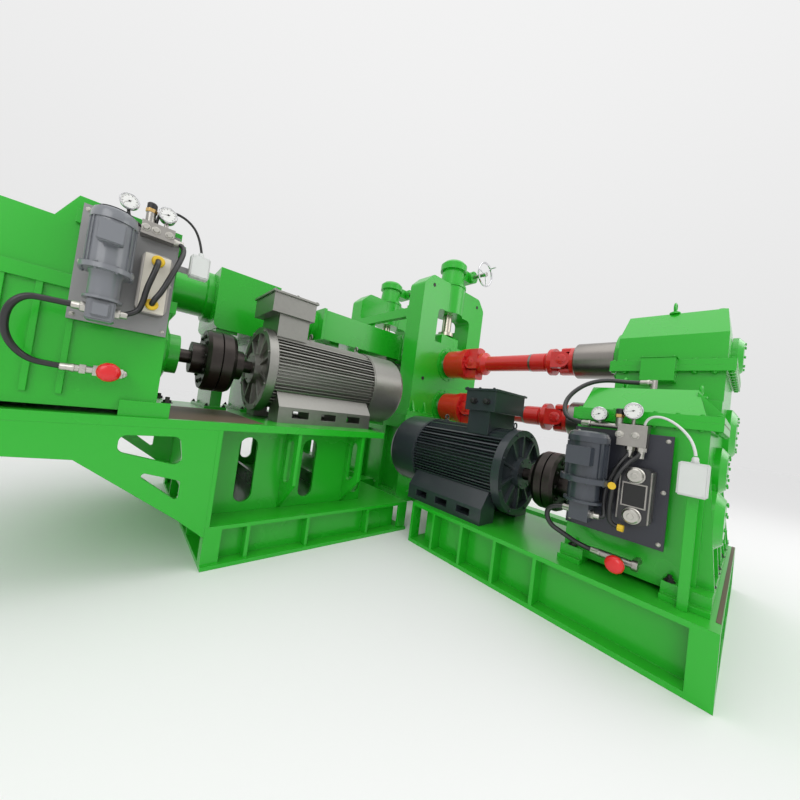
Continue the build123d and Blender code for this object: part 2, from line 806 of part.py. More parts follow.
def output_hub(axis_z):
    profile = [
        (0, HUB_Y),
        (HUB_R - HUB_CHAMFER, HUB_Y),
        (HUB_R, HUB_Y - HUB_CHAMFER),
        (HUB_R, HUB_Y - HUB_L),
        (OUTPUT_R, HUB_Y - HUB_L),
        (OUTPUT_R, CASE_Y1 + CLEAR),
        (0, CASE_Y1 + CLEAR),
    ]
    return turned_y(0, axis_z, profile)


for axis_z, word in ((UPPER_Z, "upper"), (LOWER_Z, "lower")):
    nodes[word + "_roll"] = roll(axis_z)
    nodes[word + "_cardan_shaft"] = cardan(axis_z)
    nodes[word + "_output_hub"] = output_hub(axis_z)


# Drive base: fabricated girder of a top plate, a bottom flange, a set-back web and upright ribs
def girder_outline(grow):
    return [
        (BASE_X0 - grow, BASE_Y0 - grow),
        (BASE_X1 + grow, BASE_Y0 - grow),
        (BASE_X1 + grow, BASE_LEG_Y1 + grow),
        (BASE_ARM_X1 + grow, BASE_LEG_Y1 + grow),
        (BASE_ARM_X1 + grow, BASE_Y1 + grow),
        (BASE_X0 - grow, BASE_Y1 + grow),
    ]


top_z = BASE_H - BASE_FLANGE
base = slab_z(girder_outline(0), 0, BASE_FLANGE) + slab_z(girder_outline(0), top_z, BASE_H)
base += slab_z(girder_outline(-BASE_WEB_IN), BASE_FLANGE, top_z)
half_rib = RIB_T / 2
rib_ys = [BASE_Y1 - half_rib]
rib_ys += [BASE_Y1 - RIB_PITCH * (k + RIB_FIRST) for k in range(SIDE_RIBS)]
rib_ys += [BASE_Y0 + half_rib]
for y in rib_ys:
    base += block(BASE_X0, BASE_X0 + BASE_WEB_IN, y - half_rib, y + half_rib, BASE_FLANGE, top_z)
for y in rib_ys[:4]:
    base += block(BASE_ARM_X1 - BASE_WEB_IN, BASE_ARM_X1, y - half_rib, y + half_rib, BASE_FLANGE, top_z)
leg_y0 = BASE_LEG_Y1 - BASE_WEB_IN
for k in range(END_RIBS):
    x = BASE_X0 + half_rib + (BASE_X1 - BASE_X0 - RIB_T) * k / (END_RIBS - 1)
    base += block(x - half_rib, x + half_rib, BASE_Y0, BASE_Y0 + BASE_WEB_IN, BASE_FLANGE, top_z)
    if x > BASE_ARM_X1:
        base += block(x - half_rib, x + half_rib, leg_y0, BASE_LEG_Y1, BASE_FLANGE, top_z)
nodes["drive_base"] = base


def bearing_cover_y(x, z, r, y, out):
    s = 1 if out > 0 else -1
    size = abs(out)
    profile = [
        (0, y),
        (r, y),
        (r, y + s * size / 2),
        (r * COVER_DISH, y + s * size),
        (0, y + s * size),
    ]
    return turned_y(x, z, profile)


# Front gear case: feet, split flange, bearing covers and end ribs
def front_case():
    z0 = BASE_H + PAD_H
    foot_z = z0 + CASE_FOOT_T
    body = block(FRONT_X0, CASE_JOINT_X, CASE_Y0, CASE_Y1, z0, FRONT_SPLIT_Z)
    near_foot = (CASE_Y0 - CASE_FOOT_W, CASE_Y0 + 2 * CASE_FOOT_W)
    far_foot = (CASE_Y1 - 2 * CASE_FOOT_W, CASE_Y1)
    for y0, y1 in (near_foot, far_foot):
        body += block(FRONT_X0 - CASE_FOOT_W, CASE_JOINT_X, y0, y1, z0, foot_z)
        body += block(FRONT_X0 - PAD_OUT, CASE_JOINT_X, y0, y1, BASE_H, z0)
    z_flange = FRONT_SPLIT_Z - SPLIT_FLANGE_T
    x0 = FRONT_X0 - SPLIT_END_W
    flange_y1 = CASE_Y1 + FRONT_FLANGE_IN
    body += block(x0, CASE_JOINT_X, CASE_Y0 - SPLIT_FLANGE_W, flange_y1, z_flange, FRONT_SPLIT_Z)
    rib_top = z_flange - FRONT_RIB_DROP
    for offset in FRONT_RIBS:
        x = FRONT_X0 + offset
        points = [(CASE_Y0, foot_z), (CASE_Y0 - CASE_FOOT_W, foot_z), (CASE_Y0, rib_top)]
        body += slab_x(points, x - RIB_T / 2, x + RIB_T / 2)
    second_x = MOTOR_B_X + SECOND_DX
    second_z = MOTOR_B_Z + SECOND_DZ
    body += bearing_cover_y(MOTOR_B_X, MOTOR_B_Z, INPUT_COVER_R, CASE_Y0, -INPUT_END_L)
    body += bearing_cover_y(second_x, second_z, SECOND_COVER_R, CASE_Y0, -SECOND_END_L)
    body += bearing_cover_y(MOTOR_B_X, MOTOR_B_Z, INPUT_COVER_R, CASE_Y1, INPUT_COVER_L)
    body += bearing_cover_y(second_x, second_z, SECOND_COVER_R, CASE_Y1, SECOND_COVER_L)
    bore_y = CASE_Y1 - INPUT_BORE_L
    body -= rod_y(MOTOR_B_X, MOTOR_B_Z, MOTOR_B_SHAFT_R + RUNNING_FIT, bore_y, CASE_Y1 + INPUT_COVER_L + 1)
    return body


def front_cover():
    y0 = CASE_Y0 + FRONT_COVER_IN
    insets = (FRONT_INSET, 0, FRONT_END_INSET, FRONT_BACK_INSET)
    body = hipped(FRONT_X0, CASE_JOINT_X, y0, CASE_Y1, FRONT_SPLIT_Z, FRONT_TOP_Z, *insets)
    flange = block(
        FRONT_X0 - SPLIT_END_W,
        CASE_JOINT_X,
        CASE_Y0 - SPLIT_FLANGE_W,
        CASE_Y1 + FRONT_FLANGE_IN,
        FRONT_SPLIT_Z,
        FRONT_SPLIT_Z + COVER_FLANGE_T,
    )
    body += flange
    z = FRONT_SPLIT_Z + COVER_FLANGE_T
    for k in range(COVER_RIBS):
        x = FRONT_X0 + COVER_RIB_X + COVER_RIB_PITCH * k
        points = [
            (y0 + FRONT_END_INSET, z),
            (CASE_Y0 - SPLIT_FLANGE_W, z),
            (CASE_Y0 - COVER_RIB_LIP, z + COVER_RIB_STEP),
            (y0 + FRONT_END_INSET, FRONT_TOP_Z - COVER_RIB_DROP),
        ]
        body += slab_x(points, x - COVER_RIB_T / 2, x + COVER_RIB_T / 2)
    return body


nodes["front_gear_case"] = front_case()
nodes["front_gear_cover"] = front_cover()


# Rear gear case: the two outputs one over the other
def rear_case():
    z_flange = REAR_SPLIT_Z - SPLIT_FLANGE_T
    body = block(CASE_JOINT_X, REAR_X1, CASE_Y0, CASE_Y1, BASE_H, FRONT_TOP_Z)
    body += block(REAR_X0, REAR_X1, CASE_Y0, CASE_Y1, FRONT_TOP_Z, z_flange)
    flange_x0 = REAR_X0 - SPLIT_FLANGE_W
    flange_x1 = REAR_X1 + SPLIT_FLANGE_W
    flange_y0 = CASE_Y0 - SPLIT_FLANGE_W
    flange_y1 = CASE_Y1 + REAR_FLANGE_IN
    body += block(flange_x0, flange_x1, flange_y0, flange_y1, z_flange, REAR_SPLIT_Z)
    foot_z = BASE_H + CASE_FOOT_T
    foot_y0 = CASE_Y0 - CASE_FOOT_W
    body += block(CASE_JOINT_X, REAR_X1 + CASE_FOOT_W, foot_y0, CASE_Y1, BASE_H, foot_z)
    for k in range(REAR_RIBS):
        x = CASE_JOINT_X + REAR_RIB_X + REAR_RIB_PITCH * k
        points = [(CASE_Y0, foot_z), (foot_y0, foot_z), (CASE_Y0, foot_z + REAR_RIB_H)]
        body += slab_x(points, x - RIB_T / 2, x + RIB_T / 2)
    for y in (CASE_Y0 + SIDE_RIB_IN, (CASE_Y0 + CASE_Y1) / 2, CASE_Y1 - SIDE_RIB_IN):
        points = [
            (REAR_X1, foot_z),
            (REAR_X1 + CASE_FOOT_W, foot_z),
            (REAR_X1 + SIDE_RIB_TOP, z_flange),
            (REAR_X1, z_flange),
        ]
        body += slab_y(points, y - RIB_T / 2, y + RIB_T / 2)
    body += bearing_cover_y(0, LOWER_Z, LOWER_COVER_R, CASE_Y0, -END_COVER_L)
    box_x1 = flange_x0 - SEAT_GAP
    box_y1 = WALL_BOX_Y + WALL_BOX_W
    box_z0 = z_flange - WALL_BOX_DROP
    box_z1 = REAR_SPLIT_Z + SPLIT_FLANGE_T
    body += block(box_x1 - WALL_BOX_OUT, box_x1, WALL_BOX_Y, box_y1, box_z0, box_z1)
    body += block(box_x1, REAR_X0, WALL_BOX_Y, box_y1, box_z0, z_flange)
    lower = rod_y(0, LOWER_Z, OUTPUT_BOSS_R, CASE_Y1, CASE_Y1 + OUTPUT_BOSS_L)
    upper = rod_y(0, UPPER_Z, OUTPUT_BOSS_R, CASE_Y1, CASE_Y1 + OUTPUT_BOSS_L)
    body += lower
    for axis_z in (LOWER_Z, UPPER_Z):
        body -= rod_y(0, axis_z, OUTPUT_R + RUNNING_FIT, CASE_Y1 - 1, CASE_Y1 + 2 * OUTPUT_BOSS_L)
    return body - upper


def rear_cover():
    flange_y1 = CASE_Y1 + REAR_FLANGE_IN
    z_flange = REAR_SPLIT_Z + SPLIT_FLANGE_T
    body = block(
        REAR_X0 - SPLIT_FLANGE_W,
        REAR_X1 + SPLIT_FLANGE_W,
        CASE_Y0 - SPLIT_FLANGE_W,
        flange_y1,
        REAR_SPLIT_Z,
        z_flange,
    )
    body += block(REAR_X0, REAR_X1, CASE_Y0, CASE_Y1, z_flange, REAR_BEND_Z)
    insets = (REAR_INSET, REAR_INSET, REAR_END_INSET, REAR_END_INSET)
    body += hipped(REAR_X0, REAR_X1, CASE_Y0, CASE_Y1, REAR_BEND_Z, REAR_TOP_Z, *insets)
    body += rod_y(0, UPPER_Z, OUTPUT_BOSS_R, CASE_Y1, CASE_Y1 + OUTPUT_BOSS_L)
    body += bearing_cover_y(0, UPPER_Z, UPPER_COVER_R, CASE_Y0, -END_COVER_L)
    body -= rod_y(0, UPPER_Z, OUTPUT_R + RUNNING_FIT, CASE_Y1 - 1, CASE_Y1 + 2 * OUTPUT_BOSS_L)
    return body


nodes["rear_gear_case"] = rear_case()
nodes["rear_gear_cover"] = rear_cover()


# Motor frame: a core with level fins at the sides and upright fins on top
def rib_section(r):
    ribs = None
    span = 0.74 * r
    for k in range(FIN_COUNT):
        v = -span + 2 * span * k / (FIN_COUNT - 1)
        bar = Pos(0, v) * Rectangle(2 * r, FIN_T)
        ribs = bar if ribs is None else ribs + bar
    for k in range(TOP_FINS):
        u = -0.4 * r + 0.8 * r * k / (TOP_FINS - 1)
        ribs += Pos(u, 0.5 * r) * Rectangle(FIN_T, r)
    return (ribs & Circle(FIN_R * r)) + Circle(CORE_R * r)


# Motor built along its own Z from the drive end, with its own Y up, then laid down
def end_shield(r, shaft_r):
    hub = 0.36 * r
    lip = 0.1 * r
    profile = [
        (shaft_r + RUNNING_FIT, -lip),
        (hub, -lip),
        (hub, 0.6 * lip),
        (0.86 * r, 1.1 * lip),
        (0.86 * r, 0),
        (r, 0),
        (r, 2 * lip),
        (shaft_r + RUNNING_FIT, 2 * lip),
    ]
    body = turned_z(0, 0, profile)
    for k in range(SHIELD_RIBS):
        rib = Pos(0.61 * r, 0, 0.55 * lip) * Box(0.54 * r, 0.05 * r, lip)
        body += Rot(0, 0, 360 / SHIELD_RIBS * (k + 0.5)) * rib
    return body


def motor_nodes(prefix, lay, up_z, r, frame, cowl, shaft_r, foot_half):
    lip = 0.1 * r
    nodes[prefix + "_motor_end_shield"] = lay * end_shield(r, shaft_r)
    body = Pos(0, 0, 2 * lip) * extrude(rib_section(r), amount=frame - 2 * lip - 0.04 * r)
    ring_t = 0.04 * r
    ring = Cylinder(0.99 * r, ring_t, align=(Align.CENTER, Align.CENTER, Align.MIN))
    body += Pos(0, 0, frame - ring_t) * ring
    for s in (-1, 1):
        inner = s * 0.52 * r
        u0, u1 = low_high(inner, s * foot_half)
        start = 0.1 * frame
        stop = 0.95 * frame
        bar = block(u0, u1, -up_z, -up_z + 0.12 * r, start, stop)
        for k in range(FOOT_BAYS):
            w = 0.11 * frame
            a = start + (stop - start - w) * k / (FOOT_BAYS - 1)
            top = [(s * foot_half, -up_z), (s * foot_half, -up_z + 0.36 * r), (s * 0.8 * r, -0.42 * r)]
            top += [(inner, -0.42 * r), (inner, -up_z)]
            face = make_face(Polyline([(u, v, a) for u, v in top], close=True))
            bar += extrude(face, amount=w, dir=(0, 0, 1))
        rail = [(s * foot_half, -up_z + 0.36 * r), (s * foot_half, -up_z + 0.28 * r)]
        rail += [(inner, -up_z + 0.28 * r), (inner, -0.42 * r), (s * 0.8 * r, -0.42 * r)]
        face = make_face(Polyline([(u, v, start) for u, v in rail], close=True))
        bar += extrude(face, amount=stop - start, dir=(0, 0, 1))
        clear = Cylinder(CORE_R * r - 1, 2 * frame, align=(Align.CENTER, Align.CENTER, Align.MIN))
        body += bar - clear
    nodes[prefix + "_motor_frame"] = lay * body
    bevel = 0.12 * r
    dish = 0.03 * r
    profile = [
        (0, 0),
        (r, 0),
        (r, cowl - bevel),
        (0.97 * r, cowl - 0.4 * bevel),
        (r - bevel, cowl),
        (0.7 * r, cowl),
        (0.7 * r, cowl - dish),
        (0, cowl - dish),
    ]
    fan = turned_z(0, 0, profile)
    grille = Cylinder(0.4 * r, dish) - Cylinder(0.34 * r, dish) + Cylinder(0.12 * r, dish)
    for k in range(COWL_SPOKES):
        grille += Rot(0, 0, 360 / COWL_SPOKES * k) * Pos(0.4 * r, 0, 0) * Box(0.62 * r, 0.04 * r, dish)
    fan += Pos(0, 0, cowl - dish / 2) * grille
    nodes[prefix + "_motor_fan_cowl"] = lay * Pos(0, 0, frame) * fan


def terminal_box(r, z0, length, half, top, neck):
    lip = BOX_LID_LIP
    lid_v = top - BOX_LID_T
    foot_half = half * BOX_FOOT_SHARE
    box = block(-half, half, neck, lid_v, z0, z0 + length)
    lid = block(-half - lip, half + lip, lid_v, top, z0 - lip, z0 + length + lip)
    foot = block(-foot_half, foot_half, 0.3 * r, neck, z0 + 0.2 * length, z0 + 0.92 * length)
    frame = Cylinder(FIN_R * r + SEAT_GAP, length + 2, align=(Align.CENTER, Align.CENTER, Align.MIN))
    foot -= Pos(0, 0, z0 - 1) * frame
    return box + lid + foot


lay_b = Pos(MOTOR_B_X, MOTOR_B_Y, MOTOR_B_Z) * Rot(90, 0, 0) * Rot(0, 180, 0)
size_b = (MOTOR_B_R, MOTOR_B_FRAME, MOTOR_B_COWL, MOTOR_B_SHAFT_R, MOTOR_B_FOOT_HALF)
motor_nodes("calender", lay_b, MOTOR_B_Z - BASE_H, *size_b)
box_b = terminal_box(MOTOR_B_R, BOX_B_Y0, BOX_B_L, BOX_B_HALF, BOX_B_TOP, BOX_B_NECK)
nodes["calender_motor_terminal_box"] = lay_b * box_b

lay_a = Pos(MOTOR_A_X, MOTOR_A_Y, MOTOR_A_Z) * Rot(0, 0, 90) * Rot(90, 0, 0)
size_a = (MOTOR_A_R, MOTOR_A_FRAME, MOTOR_A_COWL, MOTOR_A_SHAFT_R, MOTOR_A_FOOT_HALF)
motor_nodes("extruder", lay_a, MOTOR_A_Z - DECK_Z, *size_a)
box_a = terminal_box(MOTOR_A_R, BOX_A_X0, BOX_A_L, BOX_A_HALF, BOX_A_TOP, BOX_A_NECK)
nodes["extruder_motor_terminal_box"] = lay_a * box_a


# Flexible couplings: two hubs and two bolted flanges on one shaft line
def coupling_profile(r, shaft_r, centre, width, start, end):
    half = width / 2
    hub = HUB_SHARE * r
    hub_half = HUB_REACH * half
    step = COUPLING_STEP
    return [
        (0, start),
        (shaft_r, start),
        (shaft_r, centre - hub_half),
        (hub, centre - hub_half),
        (hub, centre - half),
        (r - step, centre - half),
        (r, centre - half + 2 * step),
        (r, centre - COUPLING_GAP),
        (r - 2 * step, centre - COUPLING_GAP),
        (r - 2 * step, centre + COUPLING_GAP),
        (r, centre + COUPLING_GAP),
        (r, centre + half - 2 * step),
        (r - step, centre + half),
        (hub, centre + half),
        (hub, centre + hub_half),
        (shaft_r, centre + hub_half),
        (shaft_r, end),
        (0, end),
    ]


centre_b = CASE_Y1 + COUPLING_B_OFF
start_b = CASE_Y1 - INPUT_BORE_L + CLEAR
ends_b = (start_b, MOTOR_B_Y + SHAFT_IN)
profile = coupling_profile(COUPLING_B_R, MOTOR_B_SHAFT_R, centre_b, COUPLING_B_W, *ends_b)
nodes["calender_motor_coupling"] = turned_y(MOTOR_B_X, MOTOR_B_Z, profile)
centre_a = MOTOR_A_X - COUPLING_A_OFF
start_a = GEAR_X1 + NOSE_L - NOSE_BORE_L + CLEAR
ends_a = (start_a, MOTOR_A_X + SHAFT_IN)
profile = coupling_profile(COUPLING_A_R, MOTOR_A_SHAFT_R, centre_a, COUPLING_A_W, *ends_a)
nodes["extruder_motor_coupling"] = turned_x(MOTOR_A_Y, MOTOR_A_Z, profile)

# Extruder base: low girder with ribs
web_x0 = EXT_BASE_X0 + EXT_WEB_IN
web_x1 = EXT_BASE_X1 - EXT_WEB_IN
ext_base = block(EXT_BASE_X0, EXT_BASE_X1, EXT_BASE_Y0, EXT_BASE_Y1, 0, PLATE_T)
web_y0 = EXT_BASE_Y0 + EXT_WEB_IN
web_y1 = EXT_BASE_Y1 - EXT_WEB_IN
edge_y0 = EXT_BASE_Y0 + EXT_TOP_IN
web_top = EXT_BASE_H - PLATE_T
ext_base += block(EXT_BASE_X0, EXT_BASE_X1, edge_y0, EXT_BASE_Y1, web_top, EXT_BASE_H)
ext_base += block(web_x0, web_x1, web_y0, web_y1, PLATE_T, web_top)
rib_xs = [EXT_BASE_X0 + half_rib]
rib_xs += [EXT_BASE_X0 + offset for offset in EXT_RIBS]
rib_xs += [EXT_BASE_X1 - half_rib]
for x in rib_xs:
    ext_base += block(x - half_rib, x + half_rib, edge_y0, web_y0, PLATE_T, web_top)
    ext_base += block(x - half_rib, x + half_rib, web_y1, EXT_BASE_Y1, PLATE_T, web_top)
for k in range(EXT_END_RIBS):
    y = edge_y0 + half_rib + (EXT_BASE_Y1 - edge_y0 - RIB_T) * k / (EXT_END_RIBS - 1)
    ext_base += block(EXT_BASE_X0, web_x0, y - half_rib, y + half_rib, PLATE_T, web_top)
    ext_base += block(web_x1, EXT_BASE_X1, y - half_rib, y + half_rib, PLATE_T, web_top)
nodes["extruder_base"] = ext_base

deck = block(DECK_X0, DECK_X1, DECK_Y0, DECK_Y1, DECK_Z - DECK_T, DECK_Z)
nodes["extruder_deck"] = deck

# Trestle between base and deck: slotted webs, gussets with rounded holes, brackets under the overhang
under = DECK_Z - DECK_T
web_ys = (DECK_Y0 + WEB_SET_BACK, DECK_Y1 - WEB_SET_BACK)
trestle_x0 = EXT_BASE_X0 + PLATE_T
webs = None
for y in web_ys:
    sheet = block(trestle_x0, DECK_X1 - PLATE_T, y - PLATE_T / 2, y + PLATE_T / 2, EXT_BASE_H, under)
    mid_z = (EXT_BASE_H + under) / 2
    for k in range(SLOTS):
        x = trestle_x0 + SLOT_X + SLOT_PITCH * k
        slot = block(x - SLOT_R, x + SLOT_R, y - PLATE_T, y + PLATE_T, mid_z - SLOT_H / 2, mid_z + SLOT_H / 2)
        slot += rod_y(x, mid_z - SLOT_H / 2, SLOT_R, y - PLATE_T, y + PLATE_T)
        slot += rod_y(x, mid_z + SLOT_H / 2, SLOT_R, y - PLATE_T, y + PLATE_T)
        sheet -= slot
    webs = sheet if webs is None else webs + sheet
nodes["trestle_webs"] = webs


def rounded_x(points, radius, x0, x1):
    face = make_face(Polyline([(x0, y, z) for y, z in points], close=True))
    face = fillet(face.vertices(), radius)
    return extrude(face, amount=x1 - x0, dir=(1, 0, 0))


gussets = None
inner_y = web_ys[0] - PLATE_T / 2
outer_y = DECK_Y0 + GUSSET_IN
low_z = under - GUSSET_DROP
for offset in GUSSET_XS:
    a = trestle_x0 + offset - PLATE_T / 2
    b = trestle_x0 + offset + PLATE_T / 2
    plate = slab_x([(outer_y, under), (outer_y, low_z), (inner_y, EXT_BASE_H), (inner_y, under)], a, b)
    hole = [
        (outer_y + GUSSET_RIM, under - GUSSET_TOP_RIM),
        (outer_y + GUSSET_RIM, low_z + GUSSET_LOW_RIM),
        (inner_y - GUSSET_WEB_RIM, low_z - GUSSET_HOLE_LEAN),
        (inner_y - GUSSET_WEB_RIM, under - GUSSET_TOP_RIM),
    ]
    plate -= rounded_x(hole, HOLE_ROUND, a - 1, b + 1)
    back = block(a, b, web_ys[0] + PLATE_T / 2, web_ys[1] - PLATE_T / 2, EXT_BASE_H, under)
    back -= rounded_x(
        [
            (web_ys[0] + BULKHEAD_SIDE, EXT_BASE_H + BULKHEAD_RIM),
            (web_ys[1] - BULKHEAD_SIDE, EXT_BASE_H + BULKHEAD_RIM),
            (web_ys[1] - BULKHEAD_SIDE, under - BULKHEAD_RIM),
            (web_ys[0] + BULKHEAD_SIDE, under - BULKHEAD_RIM),
        ],
        BULKHEAD_ROUND,
        a - 1,
        b + 1,
    )
    gussets = plate + back if gussets is None else gussets + plate + back
gussets += block(EXT_BASE_X0, trestle_x0, DECK_Y0, web_ys[1] + PLATE_T / 2, EXT_BASE_H, under)
nodes["trestle_gussets"] = gussets

bracket_x1 = EXT_BASE_X0
outline = [
    (DECK_X0 + BRACKET_IN, under),
    (DECK_X0 + BRACKET_IN, BRACKET_LOW_Z + BRACKET_TIP),
    (bracket_x1 - BRACKET_REACH, BRACKET_LOW_Z),
    (bracket_x1 - BRACKET_MID, BRACKET_MID_Z),
    (bracket_x1, EXT_BASE_H - BRACKET_ROOT),
    (bracket_x1, under),
]
hole_x1 = bracket_x1 - HOLE_MARGIN
upper_hole = [
    (hole_x1 - HOLE_L, under - HOLE_DROP),
    (hole_x1 - HOLE_LEAN, under - HOLE_DROP),
    (hole_x1, under - HOLE_DROP - HOLE_H),
    (hole_x1 - HOLE_L, under - HOLE_DROP - HOLE_SMALL_H),
]
strut_z = under - HOLE_DROP - HOLE_H - STRUT_W
lower_hole = [
    (hole_x1 - LOWER_HOLE_L, strut_z + LOWER_HOLE_RISE),
    (hole_x1, strut_z),
    (hole_x1, strut_z - LOWER_HOLE_H),
]
brackets = None
for y in (DECK_Y0 + PLATE_T / 2, web_ys[1]):
    plate = slab_y(outline, y - PLATE_T / 2, y + PLATE_T / 2)
    plate -= rounded(upper_hole, HOLE_ROUND, y - PLATE_T, y + PLATE_T)
    plate -= rounded(lower_hole, LOWER_HOLE_ROUND, y - PLATE_T, y + PLATE_T)
    brackets = plate if brackets is None else brackets + plate
nodes["deck_brackets"] = brackets


# Extruder gear case: stepped casting with a thrust housing round the screw line
def gear_case():
    z0 = DECK_Z + PAD_H
    outline = [
        (GEAR_X0, z0),
        (GEAR_X1, z0),
        (GEAR_X1, GEAR_TOP_Z),
        (GEAR_STEP_X, GEAR_TOP_Z),
        (GEAR_STEP_X - GEAR_STEP_SLOPE, GEAR_LOW_Z),
        (GEAR_X0, GEAR_LOW_Z),
    ]
    body = slab_y(outline, GEAR_Y0, GEAR_Y1)
    for x0, x1 in ((GEAR_X0, GEAR_X0 + GEAR_FOOT_L), (GEAR_X1 - GEAR_FOOT_L, GEAR_X1 + CASE_FOOT_W)):
        body += block(x0, x1, GEAR_Y0 - GEAR_FOOT_OUT, GEAR_Y1 + GEAR_FOOT_OUT, DECK_Z, z0 + CASE_FOOT_T)
    x1 = GEAR_X1 + GEAR_FLANGE_W
    y0 = GEAR_Y0 - GEAR_FLANGE_W
    y1 = GEAR_Y1 + GEAR_FLANGE_W
    for x0, z in ((GEAR_X0 - GEAR_FLANGE_W, GEAR_SPLIT_Z), (GEAR_STEP_X, GEAR_TOP_Z - GEAR_LID_H)):
        body += block(x0, x1, y0, y1, z - SPLIT_FLANGE_T, z + GEAR_FLANGE_UP)
    body += block(GEAR_STEP_X + CLEAR, GEAR_X1, -THRUST_HALF, THRUST_HALF, GEAR_TOP_Z, THRUST_TOP_Z)
    rib_top = GEAR_SPLIT_Z - SPLIT_FLANGE_T
    for k in range(GEAR_RIBS):
        x = GEAR_X0 + GEAR_RIB_PITCH * (k + 0.5)
        body += block(x - RIB_T / 2, x + RIB_T / 2, GEAR_Y0 - GEAR_RIB_H, GEAR_Y0, z0 + CASE_FOOT_T, rib_top)
    nose = GEAR_X1 + NOSE_L
    profile = [
        (0, GEAR_X1),
        (NOSE_R, GEAR_X1),
        (NOSE_R, GEAR_X1 + NOSE_L / 3),
        (NOSE_TIP_R, GEAR_X1 + NOSE_L / 2),
        (NOSE_TIP_R, nose),
        (0, nose),
    ]
    body += turned_x(MOTOR_A_Y, MOTOR_A_Z, profile)
    body -= rod_x(MOTOR_A_Y, MOTOR_A_Z, MOTOR_A_SHAFT_R + RUNNING_FIT, nose - NOSE_BORE_L, nose + 1)
    body -= rod_x(0, BARREL_Z, THRUST_R, GEAR_X1, GEAR_X1 + 2 * SPLIT_FLANGE_W)
    return body


nodes["extruder_gear_case"] = gear_case()
lid_y1 = -THRUST_HALF - CLEAR
lid_top = GEAR_TOP_Z + GEAR_LID_H
lid = hipped(GEAR_STEP_X, GEAR_X1, GEAR_Y0, lid_y1, GEAR_TOP_Z, lid_top, LID_END, LID_END, LID_SIDE, LID_BACK)
nodes["extruder_gear_cover"] = lid

thrust = [
    (0, GEAR_X1),
    (THRUST_R, GEAR_X1),
    (THRUST_R, GEAR_X1 + THRUST_L),
    (THRUST_NECK_R, GEAR_X1 + THRUST_L + THRUST_TAPER),
    (THRUST_NECK_R, THROAT_X0 - THRUST_FLANGE_T - THRUST_STEP),
    (THRUST_FLANGE_R, THROAT_X0 - THRUST_FLANGE_T),
    (THRUST_FLANGE_R, THROAT_X0),
    (0, THROAT_X0),
]

# Feed throat block with its open hopper, on two pedestals
throat = block(THROAT_X0, THROAT_X1, -THROAT_HALF, THROAT_HALF, THROAT_Z0, THROAT_TOP_Z)
throat = fillet(throat.edges().filter_by(Axis.Y).sort_by(Axis.Z)[:2], THROAT_ROUND)
hollow_x0 = THROAT_X0 + THROAT_WALL
hollow_x1 = THROAT_X1 - THROAT_WALL
hollow_y = THROAT_HALF - THROAT_WALL
floor_z = BARREL_Z + THROAT_FLOOR_UP
throat -= block(hollow_x0, hollow_x1, -hollow_y, hollow_y, floor_z, THROAT_TOP_Z + 1)
nodes["feed_throat"] = throat

supports = None
post_y = THROAT_HALF - POST_SIDE_IN
plate_y = THROAT_HALF - POST_FOOT_IN
for x in (THROAT_X0 + POST_IN, THROAT_X1 - POST_IN):
    post = block(x - POST_HALF, x + POST_HALF, -post_y, post_y, DECK_Z, THROAT_Z0)
    for z0 in (DECK_Z, THROAT_Z0 - PLATE_T):
        x0 = x - POST_FOOT_HALF
        x1 = x + POST_FOOT_HALF
        post += block(x0, x1, -plate_y, plate_y, z0, z0 + PLATE_T)
    supports = post if supports is None else supports + post
nodes["throat_pedestals"] = supports

barrel = [
    (0, THROAT_X1),
    (BARREL_FLANGE_R, THROAT_X1),
    (BARREL_FLANGE_R, THROAT_X1 + BARREL_FLANGE_T),
    (BARREL_R, THROAT_X1 + BARREL_FLANGE_T),
    (BARREL_R, SHROUD_X0 - BARREL_FLANGE_T),
    (BARREL_FLANGE_R, SHROUD_X0 - BARREL_FLANGE_T),
    (BARREL_FLANGE_R, SHROUD_X0),
    (0, SHROUD_X0),
]
nodes["extruder_barrel"] = turned_x(0, BARREL_Z, barrel) + turned_x(0, BARREL_Z, thrust)

shroud = block(SHROUD_X0, SHROUD_X1, -SHROUD_HALF, SHROUD_HALF, SHROUD_Z0, SHROUD_TOP_Z)
edge_y = SHROUD_HALF + SHROUD_EDGE_OUT
edge_z0 = SHROUD_Z0 - SHROUD_EDGE_DOWN
edge_z1 = SHROUD_TOP_Z + SHROUD_EDGE_OUT
for x0 in (SHROUD_X0, SHROUD_X1 - SHROUD_EDGE_W):
    shroud += block(x0, x0 + SHROUD_EDGE_W, -edge_y, edge_y, edge_z0, edge_z1)
nodes["barrel_shroud"] = shroud

chute_top = SHROUD_X1 - CHUTE_IN
chute_z = SHROUD_Z0
tip_z = PASS_Z + CHUTE_T * CHUTE_TIP_SHARE
chute = slab_y(
    [
        (chute_top - CHUTE_SEAT_L, chute_z),
        (chute_top, chute_z),
        (chute_top, chute_z - CHUTE_DROP),
        (CHUTE_TIP, tip_z),
        (CHUTE_TIP, tip_z - CHUTE_T),
        (chute_top - CHUTE_HEEL_IN, chute_z - CHUTE_HEEL_DROP - CHUTE_T),
        (chute_top - CHUTE_SEAT_L, chute_z - CHUTE_SEAT_T),
    ],
    -CHUTE_HALF,
    CHUTE_HALF,
)
nodes["feed_chute"] = chute

prop = block(PROP_X, PROP_X + PROP_W, -PROP_HALF, PROP_HALF, EXT_BASE_H, SHROUD_Z0)
open_half = PROP_HALF - PROP_POST_W
open_z0 = EXT_BASE_H + PROP_SILL
open_z1 = SHROUD_Z0 - PROP_HEAD
prop -= block(PROP_X - 1, PROP_X + PROP_W + 1, -open_half, open_half, open_z0, open_z1)
nodes["shroud_prop"] = prop

